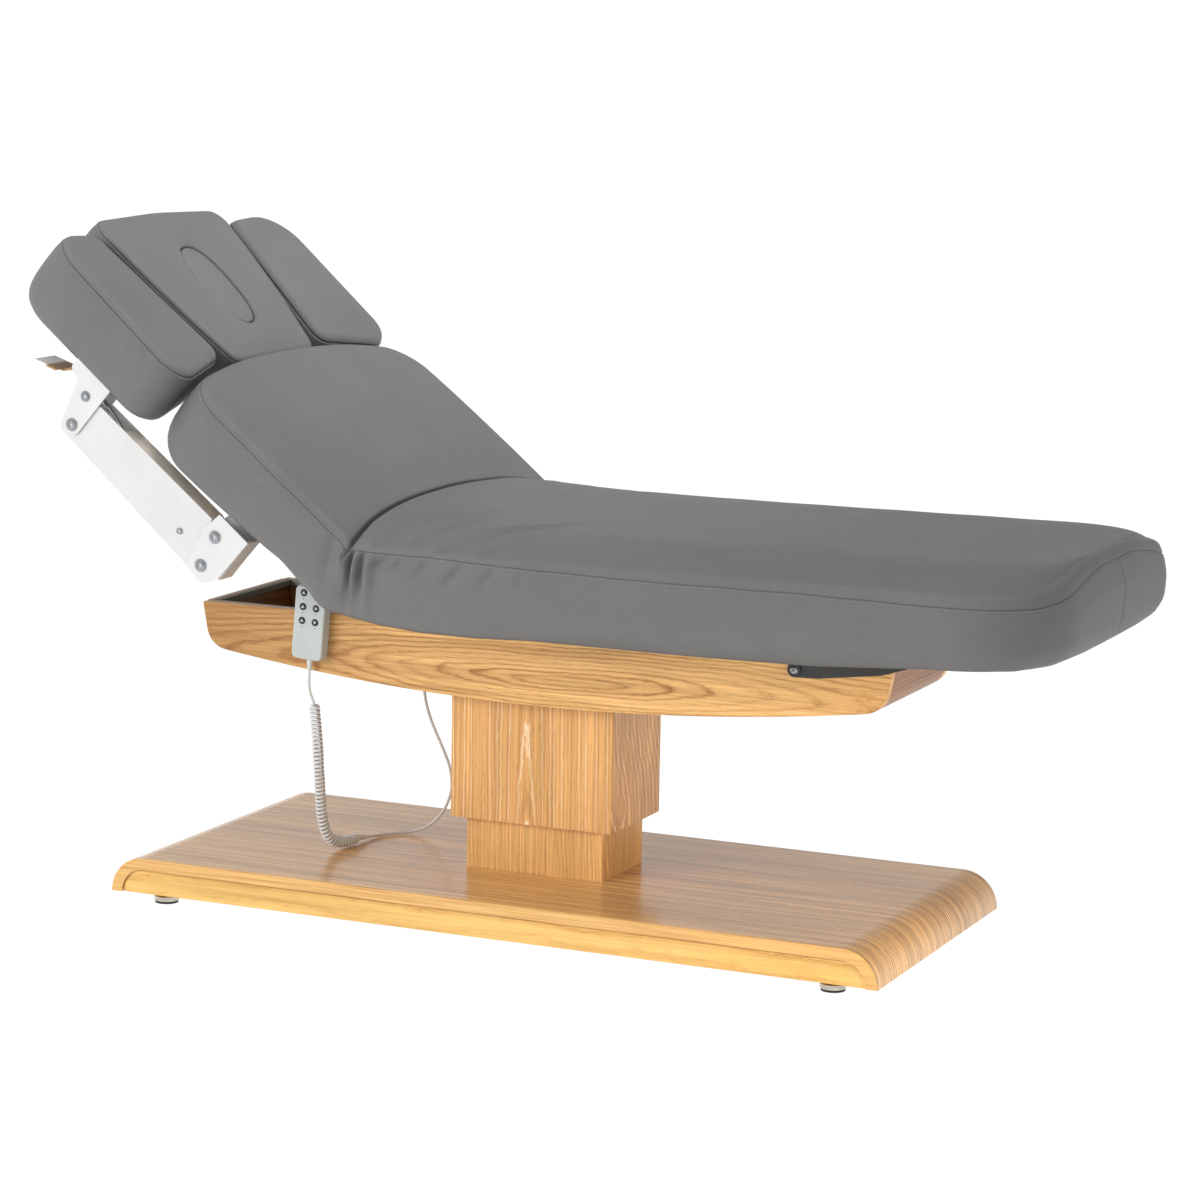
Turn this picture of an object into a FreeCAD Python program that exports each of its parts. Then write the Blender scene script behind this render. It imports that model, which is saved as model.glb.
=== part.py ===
import FreeCAD, Part
import math
import os
import re

# Spa lounger: a bent-ply base on levelling feet, a telescopic lifting column in
# two wooden covers, a boat-shaped wooden tray that hides the seat rails and the
# drives, a padded seat, back, leg and head section, and two padded wings that
# drop on parallel arms beside the head.
# Millimetres, +Z up, +X towards the foot end, +Y away from the handset side.
# The origin is on the floor, under the middle of the whole object's box.

# ---------------------------------------------------------------- dimensions
DIMS = [
    ("shift_x", -68.15),          # base centre, measured from the origin
    # base
    ("base_len", 1400), ("base_wid", 604), ("base_lo", 18), ("base_top", 80),
    ("base_thk", 20), ("base_round", 62), ("apron_thk", 18), ("apron_inset", 5),
    ("foot_x", 612), ("foot_y", 265), ("foot_dia", 43), ("stud_dia", 8),
    # column
    ("low_len", 254), ("low_wid", 170), ("col_wall", 15), ("low_top", 345),
    ("sleeve_len", 300), ("sleeve_wid", 206), ("sleeve_bot", 169), ("sleeve_top", 384.8),
    ("tube_len", 150), ("tube_wid", 100), ("tube_wall", 3), ("tube_top", 420),
    ("ram_len", 142), ("ram_wid", 92), ("ram_bot", 175), ("ram_top", 500),
    ("plate_thk", 8),
    # tray
    ("tray_mid", 25), ("tray_half", 632), ("tray_top", 509), ("tray_wid", 302),
    ("tray_wall", 18), ("tray_low", 385), ("tray_skin", 12),
    # seat
    ("hip_x", -240), ("hip_z", 536), ("knee_x", 491), ("knee_z", 490),
    ("rail_in", 55), ("rail_wid", 25), ("rail_lo", 508), ("board_lo", 540), ("pad_lo", 555),
    ("pad_top", 673), ("pad_half", 400), ("board_half", 335), ("foot_end", 984),
    # back
    ("back_deg", 40), ("pin_dia", 12),
    # head
    ("head_u", 440), ("head_deg", 44),
    # arms
    ("arm_len", 330), ("arm_rise", 8), ("arm_u", 233), ("arm_n", -96), ("link_du", 11), ("link_dn", 55),
    ("arm_bolt", 10),
    # handset
    ("hs_x", -382), ("hs_wid", 58), ("hs_lo", 429), ("hs_top", 556), ("hs_lean", 4.3), ("hs_back", -152),
    ("hs_thk", 24), ("btn_dia", 12),
    # cord
    ("cord_dia", 5.5), ("coil_dia", 21),
]
V = dict(DIMS)

doc = FreeCAD.newDocument("spa_lounger")
sheet = doc.addObject("Spreadsheet::Sheet", "dims")
for row, (key, val) in enumerate(DIMS, start=1):
    sheet.set("A%d" % row, key)
    sheet.set("B%d" % row, str(val))
    sheet.setAlias("B%d" % row, key)
doc.recompute()


def ex(text):
    """A sum of cell names and numbers as an expression on the sheet."""
    return re.sub(r"[A-Za-z_]\w*", lambda m: "dims." + m.group(0), str(text))


def num(text):
    """The value of a sum of cell names, numbers and simple products."""
    if not isinstance(text, str):
        return float(text)
    total = 0.0
    for term in re.findall(r"[+-]?[^+-]+", text.replace(" ", "")):
        sign = -1.0 if term[0] == "-" else 1.0
        value = 1.0
        op = "*"
        for tok in re.findall(r"[*/]|[^*/]+", term.lstrip("+-")):
            if tok in "*/":
                op = tok
                continue
            f = float(V[tok]) if tok in V else float(tok)
            value = value * f if op == "*" else value / f
        total += sign * value
    return total


def vec(x, y, z=0.0):
    return FreeCAD.Vector(x, y, z)


# ---------------------------------------------------------------- frames
WORLD = FreeCAD.Placement(vec(V["shift_x"], 0, 0), FreeCAD.Rotation())


def tilted(x, z, deg):
    """Frame at (x, z): local X up the slope, local Z out of the padding."""
    a = math.radians(deg)
    rot = FreeCAD.Rotation(vec(-math.cos(a), 0, math.sin(a)), vec(0, -1, 0),
                           vec(math.sin(a), 0, math.cos(a)), "XYZ")
    return FreeCAD.Placement(vec(V["shift_x"] + x, 0, z), rot)


BACK = tilted(V["hip_x"], V["hip_z"], V["back_deg"])
_a = math.radians(V["back_deg"])
HEAD = tilted(V["hip_x"] - V["head_u"] * math.cos(_a), V["hip_z"] + V["head_u"] * math.sin(_a),
              V["head_deg"])

nodes = {}
made = [0]


def fresh(stem):
    made[0] += 1
    return "%s_%03d" % (stem, made[0])


def node(obj, label, frame=WORLD):
    """Name a finished sub-part and put it in its frame."""
    obj.Label = label
    obj.Placement = frame.multiply(obj.Placement)
    nodes[label] = obj
    return obj


# ---------------------------------------------------------------- outlines
def outline(pts, via=None):
    """Closed outline: corners (x, y) or (x, y, radius); via {i: point} makes
    the edge after corner i an arc through that point."""
    via = via or {}
    n = len(pts)
    ins, outs, geo = [], [], []
    for i in range(n):
        p = vec(num(pts[i][0]), num(pts[i][1]))
        r = num(pts[i][2]) if len(pts[i]) > 2 else 0.0
        if r <= 0:
            ins.append(p)
            outs.append(p)
            continue
        q, s = pts[i - 1], pts[(i + 1) % n]
        d1 = (vec(num(q[0]), num(q[1])) - p).normalize()
        d2 = (vec(num(s[0]), num(s[1])) - p).normalize()
        half = math.acos(max(-1.0, min(1.0, d1.dot(d2)))) / 2.0
        t = r / math.tan(half)
        mid = (d1 + d2).normalize()
        c = p + mid * (r / math.sin(half))
        a, b = p + d1 * t, p + d2 * t
        geo.append(Part.Arc(a, c - mid * r, b))
        ins.append(a)
        outs.append(b)
    for i in range(n):
        a, b = outs[i], ins[(i + 1) % n]
        if i in via:
            geo.append(Part.Arc(a, vec(num(via[i][0]), num(via[i][1])), b))
        elif (a - b).Length > 1e-6:
            geo.append(Part.LineSegment(a, b))
    return geo


def circle(x, y, r):
    return [Part.Circle(vec(num(x), num(y)), vec(0, 0, 1), num(r))]


PLANES = {"XY": "XY_Plane", "XZ": "XZ_Plane", "YZ": "YZ_Plane"}


def sketch_on(body, plane, loops):
    sk = body.newObject("Sketcher::SketchObject", fresh("profile"))
    origin = [f for f in body.Origin.OriginFeatures if f.Role == PLANES[plane]][0]
    sk.AttachmentSupport = [(origin, "")]
    sk.MapMode = "FlatFace"
    for loop in loops:
        sk.addGeometry(loop, False)
    return sk


def prism(plane, loops, lo, hi, edge=0.0, pick=None):
    """Body padded square to a plane, from lo to hi; edge rounds picked edges."""
    body = doc.addObject("PartDesign::Body", fresh("body"))
    sk = sketch_on(body, plane, loops)
    pad = body.newObject("PartDesign::Pad", fresh("pad"))
    pad.Profile = sk
    pad.setExpression("Length", ex("(%s)-(%s)" % (hi, lo)))
    sk.Visibility = False
    body.Tip = pad
    doc.recompute()
    if edge > 0:
        names = ["Edge%d" % (i + 1) for i, e in enumerate(pad.Shape.Edges) if pick is None or pick(e)]
        fil = body.newObject("PartDesign::Fillet", fresh("rounding"))
        fil.Base = (pad, names)
        fil.Radius = edge
        body.Tip = fil
        doc.recompute()
    at = {"XY": vec(0, 0, num(lo)), "XZ": vec(0, num(hi), 0), "YZ": vec(num(lo), 0, 0)}[plane]
    body.Placement = FreeCAD.Placement(at, FreeCAD.Rotation())
    return body


def rim(plane):
    """Picks the edges round both flat faces of a prism."""
    k = {"XY": 2, "XZ": 1, "YZ": 0}[plane]

    def test(e):
        vals = [list(v.Point)[k] for v in e.Vertexes]
        return max(vals) - min(vals) < 1e-6
    return test


def box(x0, x1, y0, y1, z0, z1):
    b = doc.addObject("Part::Box", fresh("block"))
    for prop, lo, hi in (("Length", x0, x1), ("Width", y0, y1), ("Height", z0, z1)):
        b.setExpression(prop, ex("(%s)-(%s)" % (hi, lo)))
    b.Placement = FreeCAD.Placement(vec(num(x0), num(y0), num(z0)), FreeCAD.Rotation())
    return b


AX = {"x": FreeCAD.Rotation(vec(0, 1, 0), 90), "y": FreeCAD.Rotation(vec(1, 0, 0), -90),
      "z": FreeCAD.Rotation()}


def rod(axis, r, lo, hi, a, b):
    """Round bar along an axis from lo to hi; a and b are the other two places."""
    c = doc.addObject("Part::Cylinder", fresh("bar"))
    c.setExpression("Radius", ex(r))
    c.setExpression("Height", ex("(%s)-(%s)" % (hi, lo)))
    at = {"x": vec(num(lo), num(a), num(b)), "y": vec(num(a), num(lo), num(b)),
          "z": vec(num(a), num(b), num(lo))}[axis]
    c.Placement = FreeCAD.Placement(at, AX[axis])
    return c


def fuse(*objs):
    f = doc.addObject("Part::MultiFuse", fresh("join"))
    f.Shapes = list(objs)
    f.Refine = True
    doc.recompute()
    return f


def cut(base, *tools):
    tool = tools[0] if len(tools) == 1 else group(*tools)
    c = doc.addObject("Part::Cut", fresh("cut"))
    c.Base = base
    c.Tool = tool
    doc.recompute()
    return c


def common(a, b):
    c = doc.addObject("Part::Common", fresh("overlap"))
    c.Base = a
    c.Tool = b
    doc.recompute()
    return c


def group(*objs):
    g = doc.addObject("Part::Compound", fresh("group"))
    g.Links = list(objs)
    doc.recompute()
    return g


def tube(points, dia, label, frame=WORLD):
    """Round cord along straight runs joined by the largest tangent arcs."""
    pts = [vec(*p) for p in points]
    edges, last, radii = [], pts[0], []
    for i in range(1, len(pts) - 1):
        p = pts[i]
        d1, d2 = pts[i - 1] - p, pts[i + 1] - p
        run = min(d1.Length, d2.Length)
        d1.normalize()
        d2.normalize()
        half = math.acos(max(-1.0, min(1.0, d1.dot(d2)))) / 2.0
        turn = math.pi - 2 * half
        t = 0.45 * run
        r = t / math.tan(turn / 2.0)
        mid = (d1 + d2).normalize()
        c = p + mid * (r / math.sin(half))
        a, b = p + d1 * t, p + d2 * t
        edges.append(Part.LineSegment(last, a).toShape())
        edges.append(Part.Arc(a, c - mid * r, b).toShape())
        last = b
        radii.append(r)
    edges.append(Part.LineSegment(last, pts[-1]).toShape())
    path = Part.Wire(edges)
    along = (pts[1] - pts[0]).normalize()
    ring = Part.Wire([Part.Circle(pts[0], along, dia / 2.0).toShape()])
    solid = path.makePipeShell([ring], True, False, 2)
    want = math.pi * dia * dia / 4.0 * path.Length
    print("%s: length %.1f mm, radii %s, volume/section*length %.4f"
          % (label, path.Length, " ".join("%.0f" % r for r in radii), solid.Volume / want))
    f = doc.addObject("Part::Feature", fresh("cord"))
    f.Shape = solid
    return node(f, label, frame)


def rect(x0, x1, y0, y1, r=0.0):
    return outline([(x0, y0, r), (x1, y0, r), (x1, y1, r), (x0, y1, r)])


# ================================================================ base
half = V["base_len"] / 2
inner = V["base_round"] - V["base_thk"]
panel = prism("XZ", [outline([(-half, "base_lo"), (-half, "base_top", "base_round"),
                              (half, "base_top", "base_round"), (half, "base_lo"),
                              (half - V["base_thk"], "base_lo"),
                              (half - V["base_thk"], "base_top-base_thk", inner),
                              (-half + V["base_thk"], "base_top-base_thk", inner),
                              (-half + V["base_thk"], "base_lo")])],
              "0-base_wid/2", "base_wid/2", 2.0,
              lambda e: rim("XZ")(e) and max(v.Point.z for v in e.Vertexes) > 60.5)
node(panel, "base_panel")

edge_y = V["base_wid"] / 2 - V["apron_inset"]
ap = half - V["base_thk"] - 2
blocks = []
for y0 in (-edge_y, edge_y - V["apron_thk"]):
    blocks.append(prism("XZ", [outline([(-ap, "base_lo"), (-ap, "base_top-base_thk", 40),
                                        (ap, "base_top-base_thk", 40), (ap, "base_lo")])],
                        str(y0), "%s+apron_thk" % y0))
for sx in (-1, 1):
    for sy in (-1, 1):
        xs = sorted((sx * 580, sx * 636))
        ys = sorted((sy * 215, sy * 279))
        blocks.append(cut(box(xs[0], xs[1], ys[0], ys[1], "base_lo", "base_top-base_thk"),
                          rod("z", "stud_dia/2+0.05", 10, 70, sx * V["foot_x"], sy * V["foot_y"])))
node(group(*blocks), "base_frame_boards")

corner = 0
for sx in (-1, 1):
    for sy in (-1, 1):
        corner += 1
        at = FreeCAD.Placement(vec(sx * V["foot_x"], sy * V["foot_y"], 0), FreeCAD.Rotation())
        r = V["foot_dia"] / 2
        s = V["stud_dia"] / 2
        body = doc.addObject("PartDesign::Body", fresh("body"))
        sk = sketch_on(body, "XZ", [outline([(0, 0), (r - 1.5, 0), (r - 1.5, 3.8), (r, 4.2, 0.8), (r, 12.5, 1.5), (12, 14.5, 1), (11, 17.4),
                                             (s, 17.4), (s, 52), (0, 52)])])
        rev = body.newObject("PartDesign::Revolution", fresh("turned"))
        rev.Profile = sk
        rev.ReferenceAxis = (sk, ["V_Axis"])
        rev.Angle = 360
        body.Tip = rev
        doc.recompute()
        body.Placement = at
        node(body, "levelling_foot_%d" % corner)

# ================================================================ column
def tube_loops(lx, ly, wall, r=0.0):
    x, y, w = num(lx) / 2, num(ly) / 2, num(wall)
    return [rect(-x, x, -y, y, r), rect(-x + w, x - w, -y + w, y - w)]


node(prism("XY", tube_loops("low_len", "low_wid", "col_wall", 2.5), "base_top", "low_top"), "lower_column_cover")
node(fuse(box(-100, 100, -62, 62, "base_top", "base_top+plate_thk"),
          prism("XY", tube_loops("tube_len", "tube_wid", "tube_wall"), "base_top+plate_thk", "tube_top")),
     "lift_outer_tube")
node(fuse(box(-50, 50, -30, 30, "base_top+plate_thk", 150), rod("z", 25, 149, 205, 0, 0)), "lift_motor")

node(prism("XY", tube_loops("sleeve_len", "sleeve_wid", "col_wall", 2.5), "sleeve_bot", "sleeve_top"),
     "upper_column_sleeve")
node(fuse(prism("XY", tube_loops("ram_len", "ram_wid", "tube_wall"), "ram_bot", "ram_top"),
          box(-120, 120, -100, 100, "ram_top", "rail_lo")), "lift_inner_tube")

# ================================================================ tray
m, th, tl, tt = V["tray_mid"], V["tray_half"], V["tray_low"], V["tray_top"]
bow = 38.9          # rise of the underside from the middle to 560 mm out
side_pts = [(m - th, tt, 3), (m - 618, tl + 47, 42), (m - 560, tl + bow), (m + 560, tl + bow),
            (m + 618, tl + 47, 42), (m + th, tt, 3)]
half_w = V["tray_wid"] / 2
knee_bore = circle("knee_x", "knee_z", 8.05)
node(group(*[prism("XZ", [outline(side_pts, {2: (m, tl)}), knee_bore], str(y0), "%s+tray_wall" % y0, 1.2,
                   lambda e: rim("XZ")(e) and len(e.Vertexes) > 1)
             for y0 in (-half_w, half_w - V["tray_wall"])]), "tray_sides")
sk_t = V["tray_skin"]
in_w = half_w - V["tray_wall"]
floor = prism("XZ", [outline([(m - 560, tl + bow), (m + 560, tl + bow), (m + 560, tl + bow + sk_t),
                              (m - 560, tl + bow + sk_t)], {0: (m, tl), 2: (m, tl + sk_t)})], -in_w, in_w)
well_x, well_y = V["sleeve_len"] / 2 - V["col_wall"], V["sleeve_wid"] / 2 - V["col_wall"]
node(cut(floor, box(-well_x, well_x, -well_y, well_y, tl - 20, tl + 60)), "tray_floor")
ends = []
for s in (-1, 1):
    pts = [(m + s * 560.2, tl + bow), (m + s * 618, tl + 47, 42), (m + s * th, tt), (m + s * (th - 12.5), tt),
           (m + s * 607, tl + 60, 30), (m + s * 560.2, tl + bow + sk_t)]
    ends.append(prism("XZ", [outline(pts)], -in_w, in_w))
node(group(*ends), "tray_ends")
rx = 611
node(group(box(m - rx, m + rx, -in_w, -in_w + 6, tt - 10, tt), box(m - rx, m + rx, in_w - 6, in_w, tt - 10, tt),
           box(m - rx - 5, m - rx, -in_w, in_w, tt - 10, tt), box(m + rx, m + rx + 5, -in_w, in_w, tt - 10, tt)),
     "tray_rim_strip")

# ================================================================ seat
frame_bits = [box(-215, 440, y, y + V["rail_wid"], "rail_lo", "board_lo")
              for y in (V["rail_in"], -V["rail_in"] - V["rail_wid"])]
for x in (-150, 330):
    for s in (-1, 1):
        ya, yb = sorted((s * 78.0, s * 143.0))
        frame_bits.append(box(x, x + 40, ya, yb, "tray_top", "tray_top+4"))
node(box(-60, 470, "0-board_half", "board_half", "board_lo", "pad_lo"), "seat_board")
hx, hz, kx, kz = V["hip_x"], V["hip_z"], V["knee_x"], V["knee_z"]
t36, t16 = math.tan(math.radians(36)), math.tan(math.radians(16))
pl, pt = V["pad_lo"], V["pad_top"]
node(prism("XZ", [outline([(hx + 3 + (583 - hz) * t36, 583), (-140, 558, 30), (-62, pl), (kx - (pl - kz) * t16, pl),
                           (kx - (pt - kz) * t16, pt, 4), (hx + 3 + (pt - hz) * t36, pt, 6)])],
           "0-pad_half", "pad_half"), "seat_cushion")
ear = outline([(hx - 14, hz - 14, 13), (-160, 514), (-160, 538), (hx + 14, 538), (hx + 10, hz + 14, 4),
               (hx - 14, hz + 14, 13)])
for s in (-1, 1):
    ya, yb = sorted((s * 49.0, s * 55.5))
    yc, yd = sorted((s * 40.0, s * 60.0))
    frame_bits.append(prism("XZ", [ear], ya, yb))
    frame_bits.append(rod("y", "pin_dia/2", yc, yd, hx, hz))
node(box(250, 400, 0, 80, 455, "rail_lo"), "control_box")

# drives for the back (far side) and the leg section (near side)
drives = (("back", 1, 150, 469, -1, 112, 12), ("leg", -1, 165, 440, 1, 76, 10))
for name, s, x0, z, end, inner_end, eye in drives:
    y = s * 104
    ya, yb = sorted((s * 66.0, s * 72.0))
    yc, yd = sorted((s * 66.0, s * 118.0))
    frame_bits.append(prism("XZ", [outline([(x0 - 14, z - 14, 10), (x0 + 14, z - 14, 10), (x0 + 18, 509),
                                            (x0 - 18, 509)])], ya, yb))
    frame_bits.append(rod("y", 5, yc, yd, x0, z))
    xa, xb = sorted((x0 + end * 16, x0 + end * 236))
    ma, mb = sorted((x0 + end * 20, x0 + end * 66))
    ea, eb = sorted((x0 - end * 13, x0 + end * 20))
    bore_a, bore_b = sorted((x0 + end * 60, x0 + end * 240))
    shell = fuse(rod("x", 17, xa, xb, y, z), box(ma, mb, y - 19, y + 19, z - 19, z + 19),
                 box(ea, eb, y - 12, y + 12, z - 12, z + 12))
    node(cut(shell, rod("y", 5.05, y - 30, y + 30, x0, z), rod("x", 7.3, bore_a, bore_b, y, z)), name + "_actuator")
    tip = (hx if end < 0 else kx)
    ra, rb = sorted((x0 + end * inner_end, tip))
    node(cut(fuse(rod("x", 7, ra, rb, y, z), rod("y", eye, y - 6, y + 6, tip, z)),
             rod("y", 5, y - 20, y + 20, tip, z)), name + "_actuator_rod")
node(fuse(*frame_bits), "seat_frame")

# ================================================================ leg section
node(box(512, 860, -275, 275, "board_lo", "pad_lo"), "leg_board")
profile = prism("XZ", [outline([(kx + (pl - kz) * t16, pl), ("foot_end", pl, 14), ("foot_end", pt, 18),
                                (kx + (pt - kz) * t16, pt, 4)])], "0-pad_half", "pad_half")
plan = prism("XY", [outline([(450, "0-pad_half"), ("foot_end", "0-pad_half", 165), ("foot_end", "pad_half", 165),
                             (450, "pad_half")])], pl - 20, pt + 20)
node(common(profile, plan), "leg_cushion")
arm = outline([(kx - 13, kz + 13, 12), (kx + 40, kz + 13), (640, 512), (690, 540), (780, 540), (700, 514),
               (640, 494), (kx + 40, kz - 11), (kx - 13, kz - 13, 12)])
black = []
for s in (-1, 1):
    ya, yb = sorted((s * 151.5, s * 156.5))
    black.append(prism("XZ", [arm, circle(kx, kz, 8)], ya, yb))
    fa, fb = sorted((s * 151.5, s * 176.5))
    black[-1] = fuse(black[-1], box(692, 778, fa, fb, 536, 540))
node(group(*black), "knee_arms")
shaft_bits = [rod("y", 8, -157, 157, kx, kz)]
for s in (-1, 1):
    ya, yb = sorted((s * 156.5, s * 160.0))
    sa, sb = sorted((s * 158.2, s * 161.0))
    shaft_bits.append(cut(rod("y", 11, ya, yb, kx, kz), box(kx - 5, kx + 5, sa, sb, kz - 0.9, kz + 0.9),
                          box(kx - 0.9, kx + 0.9, sa, sb, kz - 5, kz + 5)))
horn = outline([(kx - 14, kz + 14, 13), (kx + 14, kz + 14, 13), (kx + 10, kz - 60, 9), (kx - 10, kz - 60, 9)])
for a in (-117.5, -95.5):
    shaft_bits.append(prism("XZ", [horn, circle(kx, kz - 50, 5)], a, a + 5))
node(fuse(*shaft_bits), "knee_shaft")

# ================================================================ back section
def side_pair(make):
    return [make(1), make(-1)]


def span(s, a, b):
    return sorted((s * float(a), s * float(b)))


back_bits = [box(18, 410, *span(s, 17.7, 42.7), -23, -3) for s in (1, -1)]
back_bits += [box(u0, u1, -w, w, -23, -3) for u0, u1, w in ((34, 64, 122), (205, 245, 330), (372, 408, 160))]
bear = outline([(-14, -14, 13), (60, -23), (60, -3), (20, -3), (13, 14, 10), (-14, 14, 13)])
back_bits += [prism("XZ", [bear, circle(0, 0, "pin_dia/2+0.05")], *span(s, 42.2, 48.7)) for s in (1, -1)]
# the horn that the back drive pushes hangs straight below the hinge at this recline
lean = math.radians(V["back_deg"])
tipu, tipn = -67 * math.sin(lean), -67 * math.cos(lean)
hp = outline([(36, -18), (62, -18), (62, -28, 6), (tipu + 4, tipn - 11, 9), (tipu - 11, tipn - 3, 9), (tipu + 2, tipn + 11, 8)])
back_bits += [prism("XZ", [hp, circle(tipu, tipn, 4.5)], a, a + 5) for a in (-117.5, -95.5)]
hold = outline([(380, -23), (452, -17, 11), (452, 7, 11), (428, 7), (426, -3.5), (380, -3.5)])
for s in (1, -1):
    back_bits.append(prism("XZ", [hold], *span(s, 53.5, 59.5)))
    back_bits.append(rod("y", 5, *span(s, 53.5, 68), 440, -5))
    back_bits.append(rod("y", 8, *span(s, 66.4, 70), 440, -5))
node(fuse(*back_bits), "back_frame", BACK)
node(box(215, 400, -300, 300, -3, 12), "back_board", BACK)
bprof = prism("XZ", [outline([(43, 48), (200, 25), (215, 12), (470, 12, 25), (470, 127, 30), (118, 137, 4)])],
              "0-pad_half", "pad_half")
bplan = prism("XY", [outline([(10, "0-pad_half"), (416, "0-pad_half", 60), (452, -230, 200), (452, 230, 200),
                              (416, "pad_half", 60), (10, "pad_half")])], 0, 150)
node(common(bprof, bplan), "back_cushion", BACK)
# wing brackets, arms and links, both sides
au, an = V["arm_u"], V["arm_n"]
bu, bn = au + V["arm_len"], an + V["arm_rise"]
a2, b2 = (au + V["link_du"], an + V["link_dn"]), (bu + V["link_du"], bn + V["link_dn"])
br = V["arm_bolt"] / 2
low = outline([(193, -6), (195, -92, 6), (212, -118, 10), (252, -118, 14), (268, -44, 6), (262, -6)])
up = outline([(545, 4), (626, 4), (626, -14, 6), (602, -22, 10), (580, -104, 15), (546, -104, 15)])
brackets = []
for s in (1, -1):
    bits = [prism("XZ", [low], *span(s, 374, 378)), prism("XZ", [low], *span(s, 330, 334)),
            box(193, 197, *span(s, 333, 375), -92, -6),
            rod("y", br, *span(s, 326, 380), au, an), rod("y", 8.5, *span(s, 324, 330.5), au, an),
            cut(rod("y", 8.5, *span(s, 377.5, 382), au, an), rod("y", 4, *span(s, 380, 384), au, an)),
            rod("y", br, *span(s, 358, 380), *a2),
            cut(rod("y", 8.5, *span(s, 377.5, 382), *a2), rod("y", 4, *span(s, 380, 384), *a2))]
    brackets.append(fuse(*bits))
node(group(*brackets), "arm_brackets", BACK)

slope = math.atan2(-22 + 82, 588 - 300)
for side, s in (("near", 1), ("far", -1)):
    fl = outline([(au - 20, -118, 14), (bu + 20, -110, 14), (bu + 20, -45, 14), (548, -50), (545, -29, 3), (268, -24, 3), (264, -52),
                  (au - 20, -53, 14)])
    web = outline([(268, -27.6), (482, -31.45), (482, -27.85), (268, -24)])
    holes = [circle(au, an, br + 0.05), circle(bu, bn, br + 0.05)]
    arm_sh = fuse(prism("XZ", [fl] + holes, *span(s, 370, 373.6)), prism("XZ", [fl] + holes, *span(s, 334.4, 338)),
                  prism("XZ", [web], *span(s, 337, 371)),
                  rod("y", 3, *span(s, 336, 376), 300, -82), rod("y", 5, *span(s, 373, 376.6), 300, -82))
    node(arm_sh, "wing_arm_" + side, BACK)
    lk = outline([(a2[0] - 10, a2[1] - 10, 9), (258, -58, 8), (505, -58, 8), (b2[0] + 10, b2[1] - 10, 9),
                  (b2[0] + 10, b2[1] + 10, 9), (562, -24, 6), (514, -43, 8), (264, -43, 6), (252, -31, 4), (a2[0] - 10, a2[1] + 10, 9)])
    node(prism("XZ", [lk, circle(a2[0], a2[1], br + 0.05), circle(b2[0], b2[1], br + 0.05)], *span(s, 360, 366)),
         "wing_link_" + side, BACK)
    # gas spring: cylinder clamped in the arm, rod towards the wing bracket
    ax = FreeCAD.Placement(vec(300, s * 348, -82), FreeCAD.Rotation(vec(0, 1, 0), -math.degrees(slope)))
    cyl = cut(fuse(rod("x", 9, 12, 165, 0, 0), box(-11, 14, -5, 5, -9, 9)), rod("x", 4.3, 60, 170, 0, 0),
              rod("y", 3.05, -10, 10, 0, 0))
    cyl.Placement = ax
    node(cyl, "gas_spring_" + side, BACK)
    reach = math.hypot(288, 60)
    grod = cut(fuse(rod("x", 4, 95, reach - 6, 0, 0), rod("y", 8.5, -4, 4, reach, 0)), rod("y", 4, -5, 5, reach, 0))
    grod.Placement = ax
    node(grod, "gas_spring_rod_" + side, BACK)
    # wing: bracket with its bolts and lever pin, cushion
    wb = fuse(prism("XZ", [up], *span(s, 374, 378)), prism("XZ", [up], *span(s, 330, 334)),
              box(545, 626, *span(s, 330, 378), 3, 8),
              rod("y", br, *span(s, 326, 380), bu, bn), rod("y", 8.5, *span(s, 324, 330.5), bu, bn),
              cut(rod("y", 8.5, *span(s, 377.5, 382), bu, bn), rod("y", 4, *span(s, 380, 384), bu, bn)),
              rod("y", br, *span(s, 358, 380), *b2),
              cut(rod("y", 7, *span(s, 377.5, 381), *b2), rod("y", 3.2, *span(s, 379.4, 384), *b2)),
              rod("y", 3, *span(s, 331, 377), 614, -8))
    node(wb, "wing_bracket_" + side, BACK)
    wplan = [(498, s * 174), (444, s * 390, 45), (800, s * 390, 80), (800, s * 229, 20)]
    if s < 0:
        wplan = wplan[::-1]
    wp = prism("XZ", [outline([(435, 8, 22), (812, 8), (812, 133), (435, 113, 28)])], *span(s, 120, 400))
    wq = prism("XY", [outline(wplan)], 0, 170)
    node(common(wp, wq), "wing_cushion_" + side, BACK)
    # release lever: bent plate on a pin between the bracket cheeks
    lev = outline([(604, -6.5), (618, -14), (636, -34), (683, -52), (684, -49), (637.5, -31), (622, -10),
                   (619, -3, 2), (607, -2.5, 2)])
    paddle = prism("XZ", [lev], *span(s, 337, 371))
    wide = prism("XZ", [outline([(642, -36.3), (683, -52), (684, -49), (643, -33.1)])], *span(s, 322, 386))
    node(cut(fuse(paddle, wide, rod("y", 6, span(s, 337, 371)[0], span(s, 337, 371)[1], 614, -8)),
             rod("y", 3.05, span(s, 330, 380)[0], span(s, 330, 380)[1], 614, -8)), "release_lever_" + side, BACK)

# ================================================================ head section
def oval(v0, v1, w):
    return outline([(v0, -w, w - 0.5), (v1, -w, w - 0.5), (v1, w, w - 0.5), (v0, w, w - 0.5)])


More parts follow.
